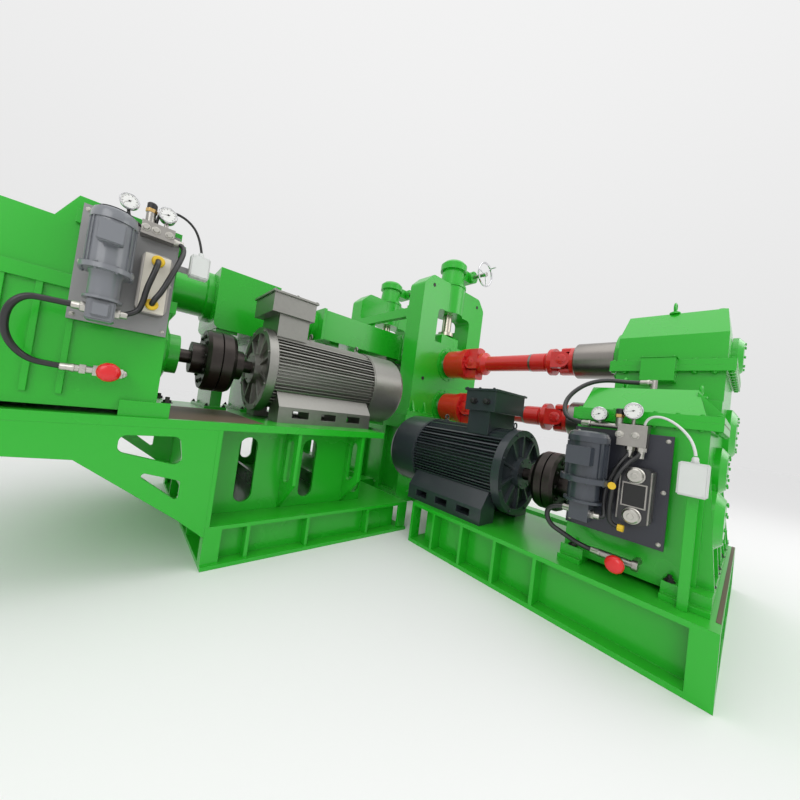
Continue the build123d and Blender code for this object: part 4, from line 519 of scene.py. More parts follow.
sky = bpy.data.worlds.new("sky")
bpy.context.scene.world = sky
sky.use_nodes = True
sky_light = sky.node_tree.nodes["Background"].inputs
sky_light["Color"].default_value = (1.0, 1.0, 1.0, 1)
sky_wire = Wire(sky.node_tree)
height = sky_wire.add("ShaderNodeTexCoord", out=GENERATED)
height = sky_wire.add("ShaderNodeSeparateXYZ", {}, {0: height}, out=Z_PART)
height = sky_wire.add("ShaderNodeClamp", {}, {0: height})
brightness = height * SKY_LIFT + SKY_LEVEL
sky.node_tree.links.new(brightness.socket, sky_light["Strength"])


def lamp(name, at, target, size, power):
    light = bpy.data.lights.new(name, "AREA")
    light.shape = "RECTANGLE"
    light.size, light.size_y = size
    light.energy = power
    thing = bpy.data.objects.new(name, light)
    thing.location = at
    thing.rotation_euler = (Vector(target) - Vector(at)).to_track_quat("-Z", "Y").to_euler()
    bpy.context.scene.collection.objects.link(thing)


centre = Vector((-1.3, -1.6, 1.2))
lamp("roof_lamp", (-1.5, -2.5, 6.5), centre, (7, 4), 95)
lamp("front_lamp", (-6.5, -5.5, 4.0), centre, (4, 3), 85)
lamp("side_lamp", (3.5, -6.5, 4.5), centre, (4, 3), 70)
bpy.context.scene.view_settings.view_transform = "Standard"
print("lamps 3")

# %% [markdown]
# ## Bolts on the roll stands
# The bearing covers, the feet and the screw columns are all held by hexagon bolts that
# were painted with the castings. Rings of bolts come from one circle helper. Four dark
# socket screws show on the face of each stand.

# %% Stand bolts
LOWER_AXIS_Z, UPPER_AXIS_Z = AXES_Z = (1.215, 1.785)
STAND_MID = 0.6825
STAND_FACE = 0.810
COVER_FACE = 0.824
FOOT_TOP = 1.090
COLUMN_FLANGE_Z, COLUMN_CAP_Z = 2.892, 3.230
WORM_BOX_X, WORM_BOX_Z, WORM_BOX_HALF = 0.330, 3.140, 0.118


def stand_bolts(mesh):
    for side in (-1, 1):
        out = (0, side, 0)
        for z in AXES_Z:
            bolt_ring(mesh, (0, side * COVER_FACE, z), out, 0.207, 12, 0.010, 0.13, washer=False)
        for leg in (-1, 1):
            feet = grid((0.385, 0.49, 0.595, 0.672), (0.532, 0.833), FOOT_TOP)
            studs(mesh, [(leg * x, side * y, z) for x, y, z in feet], 0.017)
        middle = side * STAND_MID
        bolt_ring(mesh, (0, middle, COLUMN_FLANGE_Z), UP, 0.187, 10, 0.011)
        bolt_ring(mesh, (0, middle, COLUMN_CAP_Z), UP, 0.115, 6, 0.009)
        for end in (-1, 1):
            face = (WORM_BOX_X, middle + end * WORM_BOX_HALF, WORM_BOX_Z)
            bolt_ring(mesh, face, (0, end, 0), 0.066, 6, 0.007, 0.3, washer=False)


def socket_screws(mesh):
    for side in (-1, 1):
        for leg in (-1, 1):
            for z in (2.735, 1.525):
                disc(mesh, (leg * 0.47, side * STAND_FACE, z), (0, side, 0), 0.024, 0.002, 20)


piece("stand_bolts", stand_bolts, "frame", "machine_green")
piece("stand_socket_screws", socket_screws, "frame", "bolt_black")
print("stand bolts done")

# %% [markdown]
# ## Cardan and coupling bolts
# The flanges of the cardan shafts and of both motor couplings are pulled together by
# bolts. Those of the cardan shafts were painted with them, and those of the couplings
# are dark. A slip sleeve and a bare band go round each cardan's tube, where its two
# halves slide in one another. All of this turns with the shafts, so each group rides on
# the body that its shaft belongs to.

# %% Flange bolts, sleeves and bands on the turning parts
SLEEVE_FACE_Y = -1.109
CUP_FACE_Y = -1.184
HUB_YOKE_FACE_Y = -2.402
PINS_Y = (-1.259, -2.335)
PIN_REACH = 0.138
EAR_SPREAD = math.radians(26)
TUBE_RADIUS = 0.0895
SLIP_SLEEVE = ((TUBE_RADIUS, 0), (0.0975, 0), (0.0975, 0.146), (TUBE_RADIUS, 0.152))
SLIP_BAND = ((TUBE_RADIUS, 0), (0.0945, 0.002), (0.0945, 0.022), (TUBE_RADIUS, 0.024))
SLIP_SLEEVE_Y, SLIP_BAND_Y = -1.998, -1.972


def beside_the_ears(y, z, radius):
    angles = [side + k * EAR_SPREAD for side in (0, math.pi) for k in (-1, 0, 1)]
    return [(radius * math.cos(angle), y, z + radius * math.sin(angle)) for angle in angles]


def pin_cap(mesh, at, direction, radius):
    button(mesh, at, direction, (radius, 0.004), (radius * 0.86, 0.007), 28)
    face = Vector(at) + Vector(direction) * 0.007
    bolt_ring(mesh, face, direction, radius * 0.62, 4, 0.006, 0.78, washer=False)


def cardan_bolts(mesh, z):
    for spot in circle((0, SLEEVE_FACE_Y, z), FAR, 0.189, 8, 0.2):
        disc(mesh, spot, FAR, 0.008, 0.008, 6)
    for spot in beside_the_ears(CUP_FACE_Y, z, 0.170):
        hex_bolt(mesh, spot, NEAR, 0.012, washer=False)
    for spot in beside_the_ears(HUB_YOKE_FACE_Y, z, 0.118):
        hex_bolt(mesh, spot, FAR, 0.009, washer=False)
    for side in (-1, 1):
        for y in PINS_Y:
            pin_cap(mesh, (side * PIN_REACH, y, z), (side, 0, 0), 0.050)


for word, z in (("upper", UPPER_AXIS_Z), ("lower", LOWER_AXIS_Z)):
    body = word + "_roll_line"
    sleeve = shape(lathe, (0, SLIP_SLEEVE_Y, z), NEAR, SLIP_SLEEVE, 64)
    band = shape(lathe, (0, SLIP_BAND_Y, z), NEAR, SLIP_BAND, 64)
    piece(word + "_cardan_bolts", shape(cardan_bolts, z), body, "red_paint")
    piece(word + "_slip_sleeve", sleeve, body, "red_paint")
    piece(word + "_slip_band", band, body, "turned_hub")


def coupling_bolts(mesh, centre, axis, radius, half):
    for end in (-1, 1):
        out = Vector(axis) * end
        bolt_ring(mesh, Vector(centre) + out * half, out, radius, 10, 0.013, 0.1)


COUPLINGS = {
    "calender": ((-0.925, -2.700, 0.723), FAR, 0.152, 0.075),
    "extruder": ((-2.785, -0.891, 1.266), RIGHT, 0.168, 0.095),
}
for word, values in COUPLINGS.items():
    draw = shape(coupling_bolts, *values)
    piece(word + "_coupling_bolts", draw, word + "_coupling_line", "bolt_black")
print("turning bolts done")

# %% [markdown]
# ## Bolts on the gear cases
# Each gear case is split at the height of its shafts, and rows of bolts clamp the two
# halves together from above and from below. A row is a start, an end and a count, so
# one helper places them. The bolts on the feet are black and larger. Narrow machined
# faces were left without paint along the joints and the base. Two brown patches on the
# deck, under the coupling between the extruder's gear case and its motor, are painted shade.

# %% Rows of bolts, bare strips and painted shade
FRONT_SPLIT = ((1.249, UP), (1.177, DOWN))
REAR_SPLIT = ((1.680, UP), (1.600, DOWN))
NEAR_COVERS = (
    ((-0.925, -3.564, 0.723), 0.100),
    ((-0.680, -3.549, 0.973), 0.088),
    ((0, -3.554, LOWER_AXIS_Z), 0.120),
    ((0, -3.554, UPPER_AXIS_Z), 0.092),
)
FAR_COVERS = (((-0.925, -2.845, 0.723), 0.100), ((-0.680, -2.855, 0.973), 0.088))
FRONT_FOOT_TOP, REAR_FOOT_TOP = 0.409, 0.383
BARE_STRIPS_AND_SHADE = (
    ((-1.228, -3.592, 0.3270), (0.556, -3.574, 0.3295)),
    ((-1.156, -3.5395, 1.2145), (-0.520, -3.5385, 1.2195)),
    ((-0.485, -3.5395, 1.6375), (0.485, -3.5385, 1.6425)),
    # The last two patches are painted shade on the deck under the extruder's coupling.
    ((-3.086, -1.500, 0.8690), (-2.640, -1.470, 0.8715)),
    ((-3.080, -1.466, 0.8690), (-2.560, -0.400, 0.8712)),
)


def gear_case_bolts(mesh):
    for z, way in FRONT_SPLIT:
        bolt_row(mesh, (-1.10, -3.520, z), (-0.56, -3.520, z), 7, way, 0.013)
        bolt_row(mesh, (-1.143, -3.46, z), (-1.143, -2.90, z), 7, way, 0.009)
    for z, way in REAR_SPLIT:
        for y in (-3.518, -2.873):
            bolt_row(mesh, (-0.45, y, z), (0.45, y, z), 9, way, 0.014)
        for x in (-0.463, 0.463):
            bolt_row(mesh, (x, -3.44, z), (x, -2.95, z), 6, way, 0.014)
    for z in AXES_Z:
        bolt_ring(mesh, (0, -2.805, z), FAR, 0.200, 12, 0.011, 0.1, washer=False)
    for at, radius in NEAR_COVERS:
        bolt_ring(mesh, at, NEAR, radius, 8, 0.010, 0.2, washer=False)
    for at, radius in FAR_COVERS:
        bolt_ring(mesh, at, FAR, radius, 8, 0.009, 0.2, washer=False)


def foot_bolts(mesh):
    studs(mesh, grid((-1.00, -0.72, -0.61), (-3.528,), FRONT_FOOT_TOP), 0.024)
    studs(mesh, grid((-0.15, 0.10, 0.36), (-3.528,), REAR_FOOT_TOP), 0.024)
    studs(mesh, grid((-1.165,), (-3.40, -2.95), FRONT_FOOT_TOP), 0.019)


piece("gear_case_bolts", gear_case_bolts, "frame", "machine_green")
# Bare machined faces, and two patches of painted shade on the deck.
piece("machined_strips_and_shade", shape(each, box, BARE_STRIPS_AND_SHADE), "frame", "primed_edge", smooth=False)
piece("gear_foot_bolts", foot_bolts, "frame", "bolt_black")
print("gear case bolts done")

# %% [markdown]
# ## What is on the gear covers
# Castings this heavy are lifted by ring bolts, two on each cover. The rear cover also
# carries an inspection plate and a breather that lets warm air out, and a small plate
# with four screws lies on the joint in front of it.

# %% Ring bolts, breather and inspection plates
REAR_COVER_TOP, FRONT_COVER_TOP = 2.062, 1.401
PLATE_TOP, LEDGE_PLATE_TOP = 2.074, 1.688
RING_BOLTS = (
    (-0.30, -3.19, REAR_COVER_TOP),
    (0.30, -3.19, REAR_COVER_TOP),
    (-0.86, -3.06, FRONT_COVER_TOP),
    (-0.60, -3.40, FRONT_COVER_TOP),
)
BREATHER = ((0, 0), (0.02, 0), (0.02, 0.05), (0.035, 0.055), (0.035, 0.09), (0.02, 0.1), (0, 0.1))


def ring_bolt(mesh, at, across, size):
    at, across, upright = Vector(at), Vector(across), Vector(UP)
    button(mesh, at, UP, (size * 0.8, size * 0.25), (size * 0.35, size * 0.5), 20)
    centre = at + upright * size * 1.15
    side = across.cross(upright)
    sides, rounds, thick = 20, 8, size * 0.2
    rings = []
    for k in range(sides):
        angle = 2 * math.pi * k / sides
        out = side * math.cos(angle) + upright * math.sin(angle)
        ring = []
        for j in range(rounds):
            tilt = 2 * math.pi * j / rounds
            reach = size * 0.7 + thick * math.cos(tilt)
            spot = centre + out * reach + across * thick * math.sin(tilt)
            ring.append(mesh.verts.new(spot))
        rings.append(ring)
    for k in range(sides):
        skin(mesh, rings[k], rings[(k + 1) % sides])


def cover_fittings(mesh):
    for at in RING_BOLTS:
        ring_bolt(mesh, at, FAR, 0.042)
    box(mesh, (-0.16, -3.30, 2.060), (0.16, -3.08, PLATE_TOP), 0.002)
    for spot in grid((-0.14, 0.14), (-3.28, -3.19, -3.10), PLATE_TOP):
        hex_bolt(mesh, spot, UP, 0.008)
    box(mesh, (-0.570, -3.262, 1.680), (-0.486, -3.058, LEDGE_PLATE_TOP), 0.002)
    for spot in grid((-0.558, -0.497), (-3.248, -3.072), LEDGE_PLATE_TOP):
        button(mesh, spot, UP, (0.007, 0.003), (0.004, 0.005), 12)
    lathe(mesh, (0.0, -3.42, REAR_COVER_TOP), UP, BREATHER)


piece("cover_fittings", cover_fittings, "frame", "machine_green")
print("cover fittings done")

# %% [markdown]
# ## The electric motors
# A foot-mounted motor of this size has a bolted end shield, two ring bolts for lifting,
# studs through its feet and a terminal box with a screwed lid. Thin cooling fins stand
# between the thicker ones of the solid model. They are drawn in the motor's own axes,
# with z from the drive end to the fan, and then laid in place. The cable glands are
# black plastic domes with a hexagon.

# %% Motor fittings
MOTORS = {
    "calender": {
        "drive_end": (-0.925, -2.456, 0.723),
        "out": NEAR,
        "back": FAR,
        "radius": 0.328,
        "length": 0.885,
        "boss": 0.100,
        "lid": grid((-1.168, -0.682), (-2.288, -2.160, -2.040), 1.341),
        "eyes": grid((-0.925,), (-2.365, -1.66), 1.040),
        "eye_size": 0.032,
        "feet": grid((-1.255, -0.595), (-2.32, -1.66), 0.366),
        "finish": "dark_motor_paint",
    },
    "extruder": {
        "drive_end": (-2.505, -0.891, 1.266),
        "out": LEFT,
        "back": RIGHT,
        "radius": 0.342,
        "length": 1.000,
        "boss": 0.104,
        "lid": grid((-2.50, -2.32, -2.15), (-1.118, -0.664), 1.887),
        "eyes": grid((-2.06, -1.56), (-0.891,), 1.598),
        "eye_size": 0.034,
        "feet": grid((-2.36, -1.60), (-1.245, -0.537), 0.911),
        "finish": "silver_motor_paint",
    },
}
SIDE_FINS, TOP_FINS, FIN_HALF = 10, 6, 0.0035


def motor_axes(motor):
    side = Vector(UP).cross(Vector(motor["back"]))
    turned = Matrix((side, Vector(UP), Vector(motor["back"]))).transposed()
    return Matrix.Translation(Vector(motor["drive_end"])) @ turned.to_4x4()


def between_fins(mesh, radius, length):
    core, tip, span = 0.885 * radius, 0.970 * radius, 0.74 * radius
    start, stop = 0.22 * radius, length - 0.05 * radius
    for k in range(SIDE_FINS):
        v = -span + 2 * span * (k + 0.5) / SIDE_FINS
        root = math.sqrt(core * core - v * v) - 0.01
        reach = math.sqrt(tip * tip - v * v)
        for side in (-1, 1):
            u0, u1 = sorted((side * root, side * reach))
            box(mesh, (u0, v - FIN_HALF, start), (u1, v + FIN_HALF, stop))
    for k in range(TOP_FINS):
        u = radius * (k / (TOP_FINS - 1) - 0.5)
        reach = math.sqrt(tip * tip - u * u)
        box(mesh, (u - FIN_HALF, 0.5 * radius, start), (u + FIN_HALF, reach, stop))


def motor_bolts(mesh, motor):
    face, out, radius = Vector(motor["drive_end"]), motor["out"], motor["radius"]
    boss_face = face + Vector(out) * 0.1 * radius
    bolt_ring(mesh, face, out, radius - 0.020, 8, 0.011, 0.4, washer=False)
    bolt_ring(mesh, boss_face, out, motor["boss"], 6, 0.007, washer=False)
    for spot in motor["lid"]:
        button(mesh, spot, UP, (0.010, 0.005), (0.006, 0.008), 16)
    for spot in motor["eyes"]:
        ring_bolt(mesh, spot, motor["back"], motor["eye_size"])


def gland(mesh, at, direction, size):
    disc(mesh, at, direction, size, size * 0.7, 6)
    dome = ((0, 0.6), (0.86, 0.6), (0.86, 1.5), (0.7, 1.8), (0.35, 1.9), (0, 1.9))
    lathe(mesh, at, direction, [(size * radius, size * height) for radius, height in dome])


def motor_glands(mesh):
    for y in (-2.235, -2.115):
        gland(mesh, (-1.154, y, 1.237), LEFT, 0.026)


for word, motor in MOTORS.items():
    fins = shape(between_fins, motor["radius"], motor["length"])
    fins = moved(fins, motor_axes(motor))
    piece(word + "_motor_fins", fins, "frame", motor["finish"], smooth=False)
for word, motor in MOTORS.items():
    piece(word + "_motor_bolts", shape(motor_bolts, motor), "frame", motor["finish"])
foot_spots = [spot for motor in MOTORS.values() for spot in motor["feet"]]
piece("motor_foot_studs", shape(studs, foot_spots, 0.016), "frame", "bolt_zinc")
piece("motor_cable_glands", motor_glands, "frame", "dial_black")
print("motor fittings done")

# %% [markdown]
# ## Dressing the lubrication sets
# Each gear unit has its own oil set on a steel plate: an upright motor on a bell and a
# pump, a plate cooler, a manifold with two pressure gauges and a red valve knob. The
# two sets stand a quarter turn apart, so their fittings are drawn in the plate's own
# axes, with x to the right, y into the plate and z up. A piece's name begins with the
# set that it belongs to.

# %% Gauges
PANELS = {
    "calender": Matrix.Translation((-1.200, -2.905, 0)) @ Matrix.Rotation(-math.pi / 2, 4, "Z"),
    "extruder": Matrix.Translation((-3.530, -1.518, 0)),
}
DIAL_DEPTH, MARK_DEPTH, NEEDLE_LIFT = 0.0172, 0.0181, 0.0008
MARKS, SWEEP, FIRST_MARK = 28, 270, -45
GAUGES = {
    "calender": (((0.135, -0.050, 1.210), 0.041, 205), ((0.295, -0.050, 1.240), 0.045, 190)),
    "extruder": (((0.302, -0.046, 1.914), 0.040, 200), ((0.152, -0.060, 1.900), 0.038, 215)),
}


def panel_of(name):
    return PANELS[name.split("_")[0]]


def on_panel(name, draw, finish):
    return piece(name, moved(draw, panel_of(name)), "frame", finish)


def gauge_case(mesh, at, radius):
    rim = [(radius * 0.9, 0), (radius, 0.004), (radius, 0.016), (radius * 0.9, 0.020)]
    lathe(mesh, at, NEAR, [(0, 0), *rim, (radius * 0.86, 0.017), (0, 0.017)], 40)


def gauge_face(mesh, at, radius):
    disc(mesh, Vector(at) + Vector((0, -DIAL_DEPTH, 0)), NEAR, radius * 0.85, 0.0006, 40)


def dial_axes(degrees, half_width):
    angle = math.radians(degrees)
    out = Vector((math.cos(angle), 0, math.sin(angle)))
    return out, Vector((-out.z, 0, out.x)) * half_width


def flat(mesh, points):
    mesh.faces.new([mesh.verts.new(point) for point in points])


def gauge_marks(mesh, at, radius, needle_degrees):
    face = Vector(at) + Vector((0, -MARK_DEPTH, 0))
    for k in range(MARKS):
        share, half_width = (0.62, 0.0009) if k % 3 == 0 else (0.70, 0.0005)
        out, across = dial_axes(FIRST_MARK + SWEEP * k / (MARKS - 1), half_width)
        inner = radius * share
        start, end = face + out * inner, face + out * radius * 0.78
        flat(mesh, (start - across, end - across, end + across, start + across))
    out, across = dial_axes(needle_degrees, 0.0016)
    lift = Vector((0, -NEEDLE_LIFT, 0))
    tip, tail = face + out * radius * 0.66 + lift, face - out * radius * 0.2 + lift
    flat(mesh, (tail - across, tail + across, tip))
    disc(mesh, face, NEAR, 0.004, 0.002, 12)


for word, gauges in GAUGES.items():
    places = [values[:2] for values in gauges]
    on_panel(word + "_gauge_cases", shape(each, gauge_case, places), "wheel_chrome")
    on_panel(word + "_gauge_faces", shape(each, gauge_face, places), "dial_white")
    on_panel(word + "_gauge_marks", shape(each, gauge_marks, gauges), "dial_black")
print("gauges", sum(len(gauges) for gauges in GAUGES.values()))

# %% Valve knobs and manifold caps
KNOB_LOBES, KNOB_SIDES, KNOB_DEPTH = 10, 60, 0.040
KNOB_PROFILE = (
    (0.55, 0.0), (0.92, 0.06), (1.0, 0.22), (1.0, 0.45),
    (0.93, 0.68), (0.78, 0.85), (0.52, 0.96), (0.2, 1.0),
)
VALVE_DISCS = (
    ((0.060, -0.045, 1.078), RIGHT, 0.018, 0.178, 20),
    ((0.075, -0.045, 1.078), RIGHT, 0.024, 0.022, 6),
    ((0.120, -0.045, 1.078), RIGHT, 0.028, 0.022, 6),
    ((0.205, -0.045, 1.078), RIGHT, 0.026, 0.022, 6),
    ((0.226, 0.038, 1.078), NEAR, 0.017, 0.095, 20),
    ((0.176, -0.045, 1.078), NEAR, 0.012, 0.034, 16),
)
CAP_SPOTS = {"calender": (0.230, -0.035, 1.200), "extruder": (0.237, -0.031, 1.902)}
COLLAR_TOP = 0.018


def lobed_knob(mesh, at, radius):
    place = aim(at, NEAR)
    rings = []
    for share, height in KNOB_PROFILE:
        ring = []
        for k in range(KNOB_SIDES):
            angle = 2 * math.pi * k / KNOB_SIDES
            reach = radius * share * (1 - 0.012 * (1 - math.cos(KNOB_LOBES * angle)))
            ring.append(mesh.verts.new(place @ around(reach, KNOB_DEPTH * height, angle)))
        rings.append(ring)
    for low, high in zip(rings, rings[1:]):
        skin(mesh, low, high)
    mesh.faces.new(rings[-1])
    mesh.faces.new(rings[0][::-1])


on_panel("calender_knob", shape(lobed_knob, (0.299, -0.126, 0.444), 0.044), "valve_red")
on_panel("extruder_knob", shape(lobed_knob, (0.176, -0.078, 1.078), 0.045), "valve_red")
on_panel("extruder_stop_valve", shape(each, disc, VALVE_DISCS), "bolt_zinc")
for word, spot in CAP_SPOTS.items():
    cap = shape(button, spot, UP, (0.021, 0.044), (0.016, 0.050), 24, COLLAR_TOP)
    on_panel(word + "_brass_collar", shape(disc, spot, UP, 0.024, COLLAR_TOP, 6), "brass")
    on_panel(word + "_black_cap", cap, "dial_black")
print("knobs done")

# %% [markdown]
# ## The pumps
# Ribs run down each pump's motor, and bolts hold its flange to the bell. The solid
# model's extruder pump is stouter than the photographed one, so a slimmer pump stands in
# its place: one turned body with boxes for the gear pump, its terminal box and bracket.

# %% Pump ribs and bolts, and the extruder's pump
# Distance across the plate and out of it, radius, top, and the top of the bell's flange.
PUMPS = {
    "calender": (0.118, 0.12864, 0.096, 1.103, 0.8534),
    "extruder": (0.118, 0.132, 0.077, 1.806, 1.540),
}
RIBS = 20
PUMP_PROFILE = (
    (0, 1.392), (0.068, 1.392), (0.068, 1.404), (0.056, 1.404), (0.056, 1.500),
    (0.064, 1.517), (0.094, 1.517), (0.094, 1.540), (0.077, 1.540), (0.077, 1.744),
    (0.083, 1.744), (0.083, 1.766), (0.076, 1.790), (0.056, 1.804), (0, 1.806),
)
# Half width, front and back from the pump's axis, then bottom, top and bevel.
PUMP_BOXES = (
    (0.048, -0.044, 0.044, 1.298, 1.393, 0.006),
    (0.030, -0.058, 0.050, 1.316, 1.376, 0.004),
    (0.042, -0.112, 0.000, 1.632, 1.716, 0.005),
    (0.046, -0.122, -0.106, 1.628, 1.720, 0.004),
    (0.040, 0.000, 0.120, 1.530, 1.576, 0.003),
)


def pump_dress(mesh, x, out, radius, top, bell_top):
    axis = Vector((x, -out, 0))
    low, high = bell_top + 0.05 * radius, top - 0.66 * radius
    for k in range(RIBS):
        angle = 2 * math.pi * k / RIBS
        way = Vector((math.cos(angle), math.sin(angle), 0))
        under_terminal_box = abs(way.x) < 0.62 and way.y < 0
        if under_terminal_box:
            continue
        across = Vector((-way.y, way.x, 0)) * 0.0022
        inner, outer = axis + way * radius * 0.97, axis + way * radius * 1.07
        spots = (inner - across, outer - across, outer + across, inner + across)
        lower = [mesh.verts.new((p.x, p.y, low)) for p in spots]
        upper = [mesh.verts.new((p.x, p.y, high)) for p in spots]
        skin(mesh, lower, upper)
        mesh.faces.new(upper)
        mesh.faces.new(lower[::-1])
    flange_under = bell_top - 0.3 * radius
    bolt_ring(mesh, (x, -out, bell_top), UP, radius * 1.17, 8, 0.006, 0.39)
    bolt_ring(mesh, (x, -out, flange_under), DOWN, radius * 1.17, 8, 0.007, 0.39)
    rim = [(radius * 0.30, 0), (radius * 0.34, 0.004), (radius * 0.80, 0.0)]
    lathe(mesh, (x, -out, top - 0.002), UP, rim, 32)


def extruder_pump(mesh):
    x, out = PUMPS["extruder"][:2]
    y = -out
    lathe(mesh, (x, y, 0), UP, PUMP_PROFILE, 48)
    for half, front, back, bottom, top, bevel in PUMP_BOXES:
        box(mesh, (x - half, y + front, bottom), (x + half, y + back, top), bevel)


on_panel("calender_pump_ribs", shape(pump_dress, *PUMPS["calender"]), "pump_paint")
on_panel("extruder_pump_ribs", shape(pump_dress, *PUMPS["extruder"]), "grey_pump")
pump = on_panel("extruder_pump_set", extruder_pump, "grey_pump")
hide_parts("extruder_lube_pump")
print("pumps 2")

# %% [markdown]
# ## Coolers and plate screws
# A plate cooler is a stack of thin plates, so their edges show as fine lines. The
# calender's has two cheeks, a framed black plate and two round ports on its face. The
# extruder's has a cream plate and two yellow caps. Screws hold both steel plates.

# %% Cooler plates, ports and panel screws
STACK = 11
PORT_X, PORT_Y, PORT_DEPTH = 0.340, -0.094, 0.031
PORT = (
    (0, 0), (0.042, 0), (0.042, 0.008), (0.036, 0.011),
    (0.036, 0.024), (0.030, PORT_DEPTH), (0, PORT_DEPTH),
)
YELLOW_CAPS = [((0.290, -0.110, z), NEAR, (0.027, 0.012), (0.022, 0.017)) for z in (1.436, 1.652)]


def cooler_plates(mesh, x0, x1, z0, z1, depth):
    for k in range(STACK):
        y = -0.010 - (depth - 0.022) * k / (STACK - 1)
        box(mesh, (x0 - 0.003, y - 0.0022, z0 + 0.025), (x1 + 0.003, y + 0.0022, z1 - 0.025))


def face_plate(mesh, x0, x1, z0, z1, face):
    box(mesh, (x0, -face - 0.002, z0), (x1, -face + 0.001, z1), 0.0006)


def panel_screws(mesh, x0, x1, z0, z1):
    for x in (x0, x1):
        bolt_row(mesh, (x, 0, z0), (x, 0, z1), 3, NEAR, 0.008)


def cooler_cheeks(mesh):
    for x in (0.270, 0.402):
        box(mesh, (x, -0.099, 0.672), (x + 0.008, -0.002, 0.934), 0.002)
    face_plate(mesh, 0.286, 0.394, 0.742, 0.866, 0.095)


def calender_ports(mesh):
    for z in (0.700, 0.906):
        lathe(mesh, (PORT_X, PORT_Y, z), NEAR, PORT, 32)
        disc(mesh, (PORT_X, PORT_Y - PORT_DEPTH, z), NEAR, 0.015, 0.006, 6)
    panel_screws(mesh, 0.022, 0.443, 0.575, 1.100)


calender_stack = shape(cooler_plates, 0.275, 0.405, 0.658, 0.948, 0.095)
extruder_stack = shape(cooler_plates, 0.230, 0.350, 1.394, 1.694, 0.085)
calender_plate = shape(face_plate, 0.293, 0.387, 0.749, 0.859, 0.0965)
extruder_plate = shape(face_plate, 0.238, 0.342, 1.400, 1.688, 0.085)
extruder_screws = shape(panel_screws, 0.018, 0.354, 1.325, 1.818)
on_panel("calender_cooler_plates", calender_stack, "cooler_paint")
on_panel("calender_cooler_cheeks", cooler_cheeks, "machined_steel")
on_panel("calender_cooler_plate", calender_plate, "dial_black")
on_panel("extruder_cooler_plates", extruder_stack, "machined_steel")
on_panel("extruder_cooler_face", extruder_plate, "cream_plate")
on_panel("calender_ports", calender_ports, "bolt_zinc")
on_panel("extruder_panel_screws", extruder_screws, "bolt_zinc")
on_panel("extruder_yellow_caps", shape(each, button, YELLOW_CAPS), "cap_yellow")
print("coolers 2")

# %% [markdown]
# ## Cables and short oil lines
# A cable runs from each manifold to its junction box, pale at the calender and black at
# the extruder. Short formed oil lines, black with silver ends, join the pump, the cooler
# and the manifold. Each is a curve with a round section, which needs only the points
# that it bends by.

# %% Cables and oil lines
LINES = {
    "calender_switch_cable": (0.0062, "cable_grey", (
        (0.345, -0.035, 1.170), (0.350, -0.040, 1.205), (0.405, -0.060, 1.225),
        (0.480, -0.085, 1.190), (0.548, -0.098, 1.110), (0.557, -0.098, 1.048),
    )),
    "extruder_switch_cable": (0.0062, "dial_black", (
        (0.262, -0.031, 1.852), (0.262, -0.031, 1.905), (0.300, -0.034, 1.950),
        (0.385, -0.038, 1.945), (0.450, -0.040, 1.880), (0.469, -0.040, 1.792),
    )),
    "calender_cooler_pipe": (0.0108, "hose_rubber", (
        (0.345, -0.050, 1.052), (0.345, -0.055, 1.010), (0.305, -0.115, 0.965),
        (0.262, -0.142, 0.880), (0.252, -0.140, 0.780), (0.246, -0.120, 0.690),
        (0.250, -0.100, 0.630), (0.285, -0.090, 0.622),
    )),
    "calender_feed_pipe": (0.0108, "hose_rubber", (
        (0.296, -0.050, 1.052), (0.296, -0.055, 1.010), (0.262, -0.095, 0.950),
        (0.222, -0.108, 0.840), (0.214, -0.110, 0.740), (0.226, -0.120, 0.672),
        (0.222, -0.1286, 0.655), (0.190, -0.1286, 0.655),
    )),
    "extruder_feed_pipe": (0.0120, "hose_rubber", (
        (0.290, -0.122, 1.652), (0.290, -0.150, 1.640), (0.280, -0.158, 1.580),
        (0.262, -0.150, 1.500), (0.256, -0.140, 1.430), (0.240, -0.132, 1.372),
        (0.186, -0.132, 1.350),
    )),
    "extruder_cooler_pipe": (0.0120, "hose_rubber", (
        (0.342, -0.031, 1.800), (0.372, -0.033, 1.802), (0.392, -0.055, 1.770),
        (0.376, -0.100, 1.690), (0.345, -0.140, 1.590), (0.318, -0.150, 1.500),
        (0.292, -0.150, 1.448), (0.290, -0.122, 1.436),
    )),
    "extruder_suction_pipe": (0.0130, "hose_rubber", (
        (0.060, -0.045, 1.078), (0.000, -0.045, 1.080), (-0.090, -0.055, 1.090),
        (-0.150, -0.090, 1.170), (-0.150, -0.130, 1.280), (-0.110, -0.134, 1.345),
        (-0.050, -0.132, 1.350), (0.070, -0.132, 1.350),
    )),
    "extruder_gauge_pipe": (0.0070, "hose_rubber", (
        (0.215, -0.040, 1.815), (0.185, -0.045, 1.825), (0.152, -0.052, 1.840),
        (0.152, -0.052, 1.880),
    )),
}
for name, (radius, finish, route) in LINES.items():
    route = [panel_of(name) @ Vector(spot) for spot in route]
    pipe(name, route, radius, "frame", finish)
print("cables 2, oil lines", len(LINES) - 2)

# %% Nuts, ferrules and plugs at their ends
YELLOW_TAGS = (
    ((0.256, -0.156, 0.835), NEAR, 0.019, 0.003),
    ((0.285, -0.090, 0.622), RIGHT, 0.019, 0.026, 6),
)


def nut(mesh, at, direction, size):
    profile = ((0.6, -0.5), (1, -0.5), (1, 0.5), (0.6, 0.5))
    lathe(mesh, at, direction, [(size * radius, size * height) for radius, height in profile], 6)


def ferrule(mesh, at, direction, size):
    profile = ((0, 0), (1, 0), (1, 0.6), (0.9, 0.8), (0.9, 2.2), (0.8, 2.4), (0, 2.4))
    lathe(mesh, at, direction, [(size * radius, size * height) for radius, height in profile], 20)


